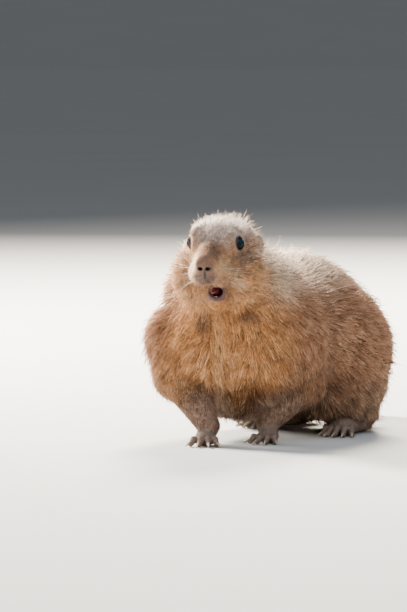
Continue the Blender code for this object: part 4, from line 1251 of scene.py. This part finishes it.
def tubes(paths, radii, segments):
    # Round tubes along several paths at once: paths is (tubes, rings, 3), radii is (tubes, rings)
    count, rings, _ = paths.shape
    ahead = unit(np.gradient(paths, axis=1))
    side = unit(np.cross(ahead, np.array([0.31, 0.17, 0.93])))
    top = np.cross(side, ahead)
    t = np.linspace(0.0, 2.0 * math.pi, segments, endpoint=False)[:, None]
    rim = side[:, :, None] * np.cos(t) + top[:, :, None] * np.sin(t)
    walls = (paths[:, :, None] + rim * radii[:, :, None, None]).reshape(count, -1, 3)
    ends = paths[:, -1:] + ahead[:, -1:] * radii[:, -1:, None]
    points = np.concatenate([walls, paths[:, :1], ends], 1)
    base = latheGrid(rings, segments)
    faces = [tuple(i + n * points.shape[1] for i in face) for n in range(count) for face in base]
    return points.reshape(-1, 3), faces


clawShape = dict(sunk=1.6, arch=0.9, tipHeight=0.55, taper=0.72, rings=7, segments=8)


def addClaws():
    # Each claw starts inside its toe and arches down to the floor: height falls with s^1.6 along it
    s = np.linspace(0.0, 1.0, clawShape["rings"])
    paths, radii = [], []
    for start, ahead, length, radius in claws:
        base = start - ahead * clawShape["sunk"] * mm + np.array([0.0, 0.0, 0.5 * mm])
        path = base + ahead * (s * (length + clawShape["sunk"]) * mm)[:, None]
        path[:, 2] += clawShape["arch"] * mm * np.sin(s * math.pi * 0.8)
        path[:, 2] += (clawShape["tipHeight"] * mm - base[2]) * s**1.6
        paths.append(path)
        radii.append(radius * mm * (1.0 - clawShape["taper"] * s**1.2))
    points, faces = tubes(np.array(paths), np.array(radii), clawShape["segments"])
    piece = newPiece("claws", points, faces, clawMaterial())
    along = np.append(np.repeat(s, clawShape["segments"]), [0.0, 1.0])
    setAttribute(piece.data, "along", np.tile(along, len(paths)))
    print("claws:", len(paths))


tongueShape = dict(
    at=(8.2, 1.9, -30.4), size=(2.7, 6.0, 2.2), groove=0.7, grooveWidth=0.25, grid=(18, 28),
    tints=((0.13, 0.010, 0.024), (0.21, 0.028, 0.045)),
)
toothShape = dict(
    root=(15.2, 3.9, -35.4), tip=(16.3, 3.9, -33.6), apart=(0.55, 0.48), arch=0.1,
    radii=(0.5, 0.53, 0.53, 0.51, 0.45, 0.3), tints=((0.42, 0.33, 0.20), (0.52, 0.43, 0.29)),
)


def addMouth():
    # A tongue with a groove exp(-(x / width)^2) along its top, and two lower teeth that arch a little
    up = np.array([0.0, 0.0, 1.0])
    turn = axes(headTurn, mouthShape["pitch"])
    points, ball = ballPoints(onHead(*tongueShape["at"]), tongueShape["size"], turn, *tongueShape["grid"])
    groove = np.exp(-(ball[:, 0] / tongueShape["grooveWidth"]) ** 2) * np.maximum(ball[:, 2], 0)
    points -= up * (groove * tongueShape["groove"] * mm)[:, None]
    wet = dict(coat=0.5, coatRoughness=0.1)
    material = plainMaterial("tongue", *tongueShape["tints"], 0.3, 1500.0, 0.0004, **wet)
    newPiece("tongueFlesh", points, latheGrid(*tongueShape["grid"]), material, ["tongue"])
    toothRadii = np.array(toothShape["radii"]) * mm
    s = np.linspace(0.0, 1.0, len(toothRadii))[:, None]
    paths = []
    for sign in (1, -1):
        offsets = [np.array([0.0, sign * apart, 0.0]) for apart in toothShape["apart"]]
        root, tip = (onHead(*(toothShape[end] + off)) for end, off in zip(("root", "tip"), offsets))
        paths.append(root + (tip - root) * s + up * np.sin(s * math.pi) * toothShape["arch"] * mm)
    points, faces = tubes(np.array(paths), np.tile(toothRadii, (2, 1)), 10)
    material = plainMaterial("tooth", *toothShape["tints"], 0.28, 700.0)
    newPiece("lowerTeeth", points, faces, material, ["lower_incisors"])
    print("mouth: tongue and teeth")


# In mm: the first root ahead, left and up on the head, the steps from it to the next place in its row and to
# the next row, and a radius for the animal's left side and one for its right
whiskerSet = dict(
    rows=4, perRow=6, first=(21.5, 6.5, -15.5), nextPlace=(-2.1, 0.75, -0.3), nextRow=(0.0, 0.0, -2.1),
    length=(15.0, 35.0), radius={1: 0.0455, -1: 0.077}, tints=((0.80, 0.76, 0.70), (0.90, 0.87, 0.82)),
)


def addWhiskers():
    # Rows of stiff hairs from each upper lip, sweeping out and back, drooping with the square of the distance
    s = np.linspace(0.0, 1.0, 8)
    turn = axes(headTurn)
    low, high = whiskerSet["length"]
    first, nextPlace, nextRow = (np.array(whiskerSet[key]) for key in ("first", "nextPlace", "nextRow"))
    paths, radii = [], []
    for sign, radius in whiskerSet["radius"].items():
        for row in range(whiskerSet["rows"]):
            for place in range(whiskerSet["perRow"]):
                ahead, aside, above = first + nextPlace * place + nextRow * row
                root = onHead(ahead + rng.normal(0, 0.3), sign * aside, above)
                length = (low + (high - low) * place / 5.0) * rng.uniform(0.8, 1.1) * mm
                back = -0.35 - 0.12 * place + rng.normal(0, 0.08)
                rise = 0.16 - 0.16 * row + rng.normal(0, 0.07)
                out = turn @ unit(np.array([sign, back, rise]))
                droop = np.array([0.0, 0.0, -1.0]) * rng.uniform(0.08, 0.22) + turn[:, 1] * -0.18
                paths.append(root + out * (s * length)[:, None] + droop * (s**2 * length)[:, None])
                radii.append(radius * mm * (1.0 - 0.85 * s) * rng.uniform(0.8, 1.2))
    points, faces = tubes(np.array(paths), np.array(radii), 4)
    material = plainMaterial("whisker", *whiskerSet["tints"], 0.35, 300.0)
    newPiece("whiskers", points, faces, material)
    print("whiskers:", len(paths))


addCamera()
addLamps()
addFloor()
skinPoints, skinTris, skinNormals = addSkin()
addEyes()
addMouth()
addClaws()
addWhiskers()
addCoat(skinPoints, skinTris, skinNormals, 1.0)

boxes = [[[float(v) for v in corner] for corner in box] for box in (cadBox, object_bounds())]
